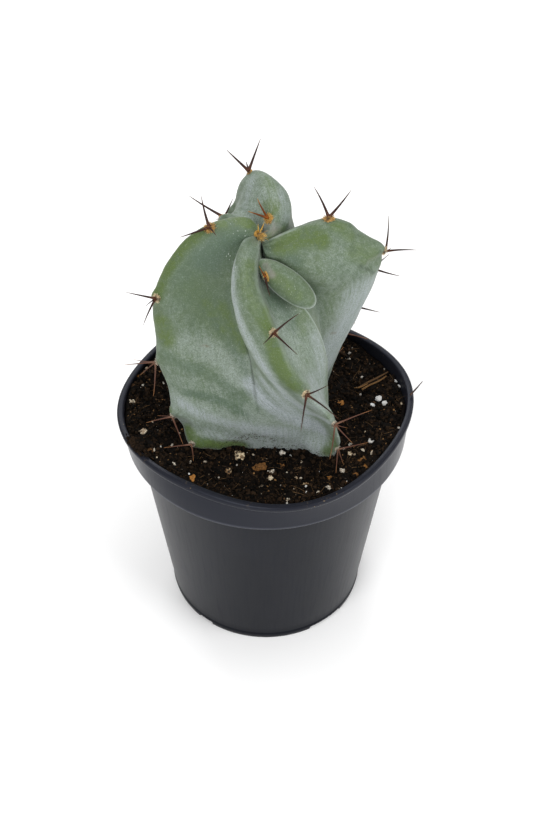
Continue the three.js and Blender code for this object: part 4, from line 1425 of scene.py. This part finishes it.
# The colours of spines at the base, along them and at the tip, and of wool at its root and its end
SPINE_COLOURS = {
    "spine_gold": ((150, 98, 30), (196, 150, 56), (206, 170, 84)),
    "spine_amber": ((132, 72, 18), (98, 50, 12), (156, 108, 44)),
    "spine_dark": ((62, 32, 18), (40, 22, 16), (70, 42, 28)),
    "spine_brown": ((72, 40, 24), (44, 25, 19), (72, 42, 28)),
    "spine_rose": ((112, 82, 66), (86, 56, 44), (138, 94, 56)),
}
# The wool's darker root colour is painted shade among the hairs
WOOL_COLOURS = {
    "wool_amber": ((136, 88, 28), (220, 180, 94)),
    "wool_gold": ((138, 94, 42), (222, 182, 108)),
    "wool_cream": ((164, 134, 90), (236, 222, 188)),
    "wool_grey": ((120, 104, 84), (222, 214, 194)),
}


def spine_clusters(tree):
    shapes = {"pad": cushion_template(), "hair": hair_template(), "spine": spine_template()}
    finishes = {}
    for finish, colours_by_name in ((spine_wood, SPINE_COLOURS), (wool, WOOL_COLOURS)):
        for name, colours in colours_by_name.items():
            finishes[name] = finish(name, *colours)
    for node in sorted(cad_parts):
        if node.startswith("spines_"):
            spine_cluster(node, tree, shapes, finishes)


# Soil

def heaped(x, y):
    """How far the soil is heaped up by the wall, all round but for a hollow at the back on the right."""
    radius = math.hypot(x, y)
    if radius < HEAP_START:
        return 0
    off = (math.atan2(y, x) - HOLLOW + math.pi) % TURN - math.pi
    full = HEAP * float(eased(radius, HEAP_START, HEAP_END))
    return full * (1 - HOLLOW_SHARE * math.exp(-(off / HOLLOW_WIDTH) ** 2))


def soil_rise(x, y):
    """The soil's rolling surface above its level, in millimetres."""
    crown = SOIL_CROWN * math.exp(-(x * x + y * y) / SOIL_CROWN_RADIUS ** 2)
    broad = 0.5 * math.sin(x * 0.21 + 1) * math.cos(y * 0.17)
    return crown + broad + 0.35 * math.sin(x * 0.43 - y * 0.38) + heaped(x, y)


def on_soil(point):
    """A point moved along its sight line until it is lifted by as much as the soil there is heaped."""
    line = (point - CAMERA_PLACE).normalized()
    spot = point.copy()
    for _ in range(8):
        wanted = point.z + heaped(spot.x / MM, spot.y / MM) * MM
        spot += line * (0.8 * (wanted - spot.z) / line.z)
    return spot


def crumble(x, y):
    """The crumbs' roughness on top of it."""
    point = Vector((x, y, 0))
    clods = noise.fractal(point / 4.2, 0.8, 2.1, 4)
    bits = noise.noise(point / 0.9 + Vector((9, 4, 1)))
    return 0.75 * clods + 0.22 * bits


def soil_height(x, y):
    return SOIL_LEVEL + soil_rise(x, y) + crumble(x, y)


def soil_block():
    profile = [(0, 1.55), (12.85, 1.55), (14.05, 4.15), (34.75, 4.15), (44.45, 78)]
    profile += [(SOIL_RADIUS, 80.35), (SOIL_RADIUS, SOIL_LEVEL - 1)]
    profile += [(SOIL_RADIUS * (1 - k / SOIL_RINGS), SOIL_LEVEL) for k in range(SOIL_RINGS + 1)]
    bm = spun(profile, SOIL_STEPS)
    for v in bm.verts:
        if v.co.z > (SOIL_LEVEL - 0.01) * MM:
            x, y = v.co.x / MM, v.co.y / MM
            height = soil_height(x, y)
            stretch = squared(x, y, height) / squared(x, y, SOIL_LEVEL)
            v.co = Vector((x * stretch, y * stretch, height)) * MM
    mesh = mesh_of(bm, "soil_bed")
    mesh.shade_smooth()
    mark(mesh, "tint", 0.3 + 0.25 * ripple(corners(mesh), 3 * MM, 5))
    mesh.materials.append(peat("peat_bed", (10, 7, 5), (30, 22, 15)))
    soil = linked("soil_bed", mesh)
    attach(soil, "root")
    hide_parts("potting_soil")


def open_spot(rng, tree, near):
    """A random place on the soil that the stem doesn't stand on, no further from it than near."""
    while True:
        x, y = (rng.uniform(-SOIL_REACH, SOIL_REACH) * RIM_SPARE for _ in range(2))
        height = soil_height(x, y)
        if math.hypot(x, y) > SOIL_REACH * squared(x, y, height):
            continue
        point = Vector((x, y, height)) * MM
        place, normal, _, _ = tree.find_nearest(point)
        if CLEAR_OF_STEM * MM < (point - place).dot(normal) < near * MM:
            return point


def spilt_spot(rng):
    """A random place on the lip, where the soil has spilt over it."""
    bearing = rng.gauss(sum(SPILL) / 2, (SPILL[1] - SPILL[0]) / 4)
    radius = SPILL_START + SPILL_REACH * rng.random() ** 1.2
    x, y = radius * math.cos(bearing), radius * math.sin(bearing)
    out = squared(x, y, POT_HEIGHT)
    pile = SPILL_HEIGHT * rng.random() * (1 - abs(radius - SPILL_PEAK) / SPILL_SPREAD)
    return Vector((x * out, y * out, POT_HEIGHT - 0.1 + pile)) * MM


def knobbly(seed, rough, subdivisions=1):
    """A lumpy crumb, 1 across."""
    bm = bmesh.new()
    bmesh.ops.create_icosphere(bm, subdivisions=subdivisions, radius=0.5)
    for v in bm.verts:
        v.co *= 1 + rough * noise.noise(v.co * 4 + Vector((seed * 3.7, 0, 0))) * 2
    return bm


def strand(seed):
    """A bent fibre of length 1 along X."""
    rng = random.Random(seed)
    bm = bmesh.new()
    bmesh.ops.create_cone(bm, cap_ends=True, segments=4, radius1=0.016, radius2=0.0096, depth=1)
    bmesh.ops.subdivide_edges(bm, edges=upright_edges(bm), cuts=4)
    bmesh.ops.rotate(bm, verts=bm.verts[:], matrix=Matrix.Rotation(math.pi / 2, 3, "Y"))
    curl, lift = rng.uniform(-0.6, 0.6), rng.uniform(0.0, 0.35)
    for v in bm.verts:
        v.co.y += curl * (v.co.x ** 2 - 0.1)
        v.co.z += lift * (0.12 - v.co.x ** 2)
    return bm


def scattered(name, templates, count, sizes, tints, seed, finish, tree=None, near=200, flat=0.8,
              sunk=0.1, tilt=1.0):
    """Many small pieces lying on the soil, or spilt on the lip where no stem's tree is given. Sizes are
    in millimetres, and most are near the small end."""
    rng = random.Random(seed)
    placings, shades = [], []
    for _ in range(int(count * LOOSE_SHARE)):
        point = open_spot(rng, tree, near) if tree else spilt_spot(rng)
        size = sizes[0] + (sizes[1] - sizes[0]) * rng.random() ** 2
        point.z += (0.5 - sunk) * size * flat * MM * (0.4 if tilt < 0.5 else 1)
        turn = Matrix.Rotation(rng.uniform(0, TURN), 4, "Z")
        lean = Matrix.Rotation(rng.gauss(0, 0.5 * tilt), 4, "X")
        turn @= lean @ Matrix.Rotation(rng.gauss(0, 0.4 * tilt), 4, "Y")
        stretch = Matrix.Diagonal((rng.uniform(0.8, 1.3), rng.uniform(0.7, 1.1), flat, 1))
        placings.append(Matrix.Translation(point) @ turn @ stretch @ Matrix.Scale(size * MM, 4))
        shades.append(rng.uniform(*tints))
    piece = swarm(name, templates, placings, shades, finish)
    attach(piece, "root")


def knobs(first, end, rough):
    """Crumbs of several seeds."""
    return [knobbly(k, rough) for k in range(first, end)]


def loose_soil(tree):
    crumb = peat("peat_crumb", (5, 4, 3), (42, 30, 19))
    bits = woody("bark_bit", (44, 29, 17), (118, 86, 50))
    fibre = woody("peat_fibre", (36, 25, 15), (104, 78, 48))
    white = perlite_white()
    strands = [strand(k) for k in range(6)]
    scattered("soil_crumbs", knobs(0, 5, 0.45), 5200, (0.4, 1.7), (0, 1), 11, crumb, tree)
    scattered("soil_foot_crumbs", knobs(12, 15, 0.45), 420, (0.5, 1.9), (0, 0.8), 15, crumb,
              tree, near=1.6, sunk=0.0)
    scattered("soil_spilt_crumbs", knobs(15, 18, 0.45), 230, (0.5, 1.7), (0.3, 1), 16, crumb)
    scattered("soil_bark_bits", knobs(5, 9, 0.4), 900, (0.25, 0.9), (0, 1), 12, bits, tree,
              flat=0.6)
    scattered("soil_fibres", strands, 760, (1.5, 6), (0, 1), 13, fibre, tree, flat=1.0,
              sunk=0.35, tilt=0.3)
    scattered("soil_perlite_dust", knobs(9, 12, 0.3), 130, (0.3, 1.3), (0, 0.8), 14, white,
              tree)
    return white


# Bits on the soil: the pixel of the picture, the size in millimetres and how stained each is
PERLITE_BITS = [
    (132.4, 401.6, 1.5, 0.7), (143, 385, 0.8, 0.4), (163, 383, 0.8, 0.3), (272, 472, 1.6, 0.5),
    (296, 478, 0.9, 0.8), (350, 445, 1.1, 0.4), (363, 450, 0.9, 0.6), (253, 455, 0.9, 0.7),
    (288, 500, 1.1, 0.6), (332.5, 467.5, 1.0, 0.7), (318, 492, 0.8, 0.6), (262, 486, 0.8, 0.7),
    (215, 478, 0.8, 0.6), (205, 462, 0.9, 0.5), (189, 463, 0.8, 0.5), (174, 464, 0.9, 0.5),
    (357, 388, 0.7, 0.2), (395, 381, 1.0, 0.1), (399, 386, 0.8, 0.1), (301, 462, 0.8, 0.6),
    (338, 489, 0.8, 0.8), (399, 428, 0.8, 0.3), (154, 450, 0.9, 0.5), (172, 445, 0.8, 0.4),
    (133, 442, 0.9, 0.3),
]
BARK_BITS = [
    (341, 403.6, 2.2, 0.9), (362.5, 460.5, 2.4, 0.5), (192, 478, 1.8, 0.8), (133, 385, 1.5, 0.2),
    (330, 478, 1.4, 0.6), (150, 450, 1.6, 0.3), (366, 466, 1.4, 0.7), (345, 482, 1.2, 0.9),
    (138, 376, 1.1, 0.8),
]
# The pixels where the larger grains and chips lie, and how stained the grains are
PERLITE_PIXELS = [
    (238.8, 455.5, 0.9), (228.8, 471.5, 1.0), (282.5, 453, 0.4), (306.3, 485.5, 1.0), (328, 488.5, 0.5),
    (379, 399, 0.05), (385, 403.5, 0.1), (372, 405.5, 0.0), (370.8, 441, 0.2), (373, 453.3, 0.6),
    (143.5, 432, 0.7), (350, 454, 0.8), (270, 478, 0.8), (342.5, 471, 0.5),
]
BARK_PIXELS = [(259.5, 467), (281, 465.5), (355.5, 474.5)]


def soil_spot(u, v, lift):
    """Where the sight line of a pixel meets the soil, lifted by so many millimetres."""
    line = sight_line(u, v)
    spot = CAMERA_PLACE + line * ((SOIL_LEVEL * MM - CAMERA_PLACE.z) / line.z)
    for _ in range(8):
        wanted = (soil_height(spot.x / MM, spot.y / MM) + lift) * MM
        spot += line * (0.8 * (wanted - spot.z) / line.z)
    return spot


def dropped(name, bits, seed, flat, finish):
    """Small pieces on the soil, where their pixels' sight lines meet it."""
    rng = random.Random(seed)
    placings = []
    for u, v, size, _ in bits:
        spot = soil_spot(u, v, 0.25 * size * flat)
        turn = Matrix.Rotation(rng.uniform(0, TURN), 4, "Z")
        turn @= Matrix.Rotation(rng.gauss(0, 0.3), 4, "X")
        stretch = Matrix.Diagonal((rng.uniform(1.0, 1.5), rng.uniform(0.7, 1.0), flat, 1))
        placings.append(Matrix.Translation(spot) @ turn @ stretch @ Matrix.Scale(size * MM, 4))
    templates = [knobbly(seed + k, 0.5, 3) for k in range(5)]
    piece = swarm(name, templates, placings, [bit[3] for bit in bits], finish)
    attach(piece, "root")


def rod(points, radii):
    """A thin bent rod through points in millimetres, with its radius at each."""
    places = np.linspace(0, len(points) - 1, ROD_STEPS * len(points))
    line = curve(np.array(points, float), places) * MM
    thick = np.interp(places, range(len(radii)), radii) * MM
    turns = [Vector(step).to_track_quat("Z", "Y").to_matrix() for step in np.gradient(line, axis=0)]
    rows = zip(thick, line, turns)
    return tube([circle(radius, ROD_SEGMENTS, Vector(place), turn) for radius, place, turn in rows])


def grounded(lines):
    """Rods moved onto the heaped soil."""
    return [([on_soil(Vector(point) * MM) / MM for point in points], radii) for points, radii in lines]


def rods(name, node, lines, finish):
    """One piece of several rods, in the place of a CAD node."""
    templates = [rod(points, radii) for points, radii in lines]
    as_made = [Matrix.Identity(4)] * len(lines)
    piece = swarm(name, templates, as_made, np.linspace(0.3, 0.8, len(lines)), finish)
    along = [np.repeat(np.linspace(0, 1, ROD_STEPS * len(points)), ROD_SEGMENTS) for points, _ in lines]
    mark(piece.data, "along", np.concatenate(along))
    piece.data.shade_smooth()
    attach(piece, "root")
    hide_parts(node)


def refined_grain(node, name, material, slot, tint, pixel, roughness):
    """A CAD grain made knobbly and porous, lying where the picture has it."""
    low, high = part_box(node)
    size = (high - low).length / 1.7
    grain = linked(name, mesh_of(cleaned_copy(node), name))
    rounding = grain.modifiers.new("rounding", "SUBSURF")
    rounding.levels = rounding.render_levels = 3
    mesh = grain.data = with_modifiers(grain)
    co = corners(mesh)
    normals = corner_normals(mesh)
    lumps = ripple(co, size * 0.35, 4)
    pits = np.array([noise.voronoi(Vector(p) / (size * 0.26))[0][0] for p in co])
    swell = lumps * roughness * 0.5 + (0.45 - pits) * roughness
    centre = np.array((low + high) / 2)
    spot = soil_spot(*pixel, 0.12 * size / MM)
    set_corners(mesh, np.array(spot) + (co - centre) * 1.02 + normals * (swell * size)[:, None])
    mesh.shade_smooth()
    mark(mesh, "tint", np.full(len(co), tint))
    mesh.materials.clear()
    mesh.materials.append(material)
    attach(grain, "root")
    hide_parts(node)


# The twig is thin split stalks, and the fallen spine hooks over the rim: points and the radius at each
TWIG_STALKS = [
    ([(33, 10.2, 87), (36.5, 13, 86.9), (40.5, 15.8, 86.9), (44.6, 19.2, 86.6)], (0.28, 0.36, 0.36, 0.2)),
    ([(34.6, 9.6, 86.9), (37.5, 12, 86.8), (41, 14.3, 86.7), (44, 17.2, 86.4)], (0.36, 0.34, 0.3, 0.16)),
    ([(31.8, 10.6, 86.8), (34.0, 10.6, 87.2), (36.8, 12.4, 87.1)], (0.1, 0.22, 0.12)),
]
FALLEN_SPINE = [([(51.3, 1.6, 92.1), (53.2, 4.0, 92.4), (56, 7.6, 93.0)], (0.34, 0.3, 0.1))]


def loose_pieces(white):
    for i, (u, v, tint) in enumerate(PERLITE_PIXELS, start=1):
        names = (f"perlite_{i}", f"perlite_grain_{i}")
        refined_grain(*names, white, "perlite", tint, (u, v), 0.14 + 0.2 * tint)
    bark = woody("bark_chip", (26, 17, 10), (150, 100, 44))
    dropped("perlite_bits", PERLITE_BITS, 40, 0.8, white)
    dropped("bark_bits", BARK_BITS, 50, 0.5, bark)
    for i, pixel in enumerate(BARK_PIXELS, start=1):
        refined_grain(f"bark_chip_{i}", f"bark_flake_{i}", bark, "bark", 0.4, pixel, 0.3)
    stalk = woody("twig_stalk", (54, 36, 18), (122, 88, 46))
    rods("twig_stalks", "twig", grounded(TWIG_STALKS), stalk)
    fallen = spine_wood("spine_fallen", (64, 42, 30), (48, 32, 26), (70, 50, 40))
    rods("fallen_spine_stick", "fallen_spine", FALLEN_SPINE, fallen)


camera()
studio()
nursery_pot()
stem_tree = cactus_stem()
spine_clusters(stem_tree)
soil_block()
loose_pieces(loose_soil(stem_tree))
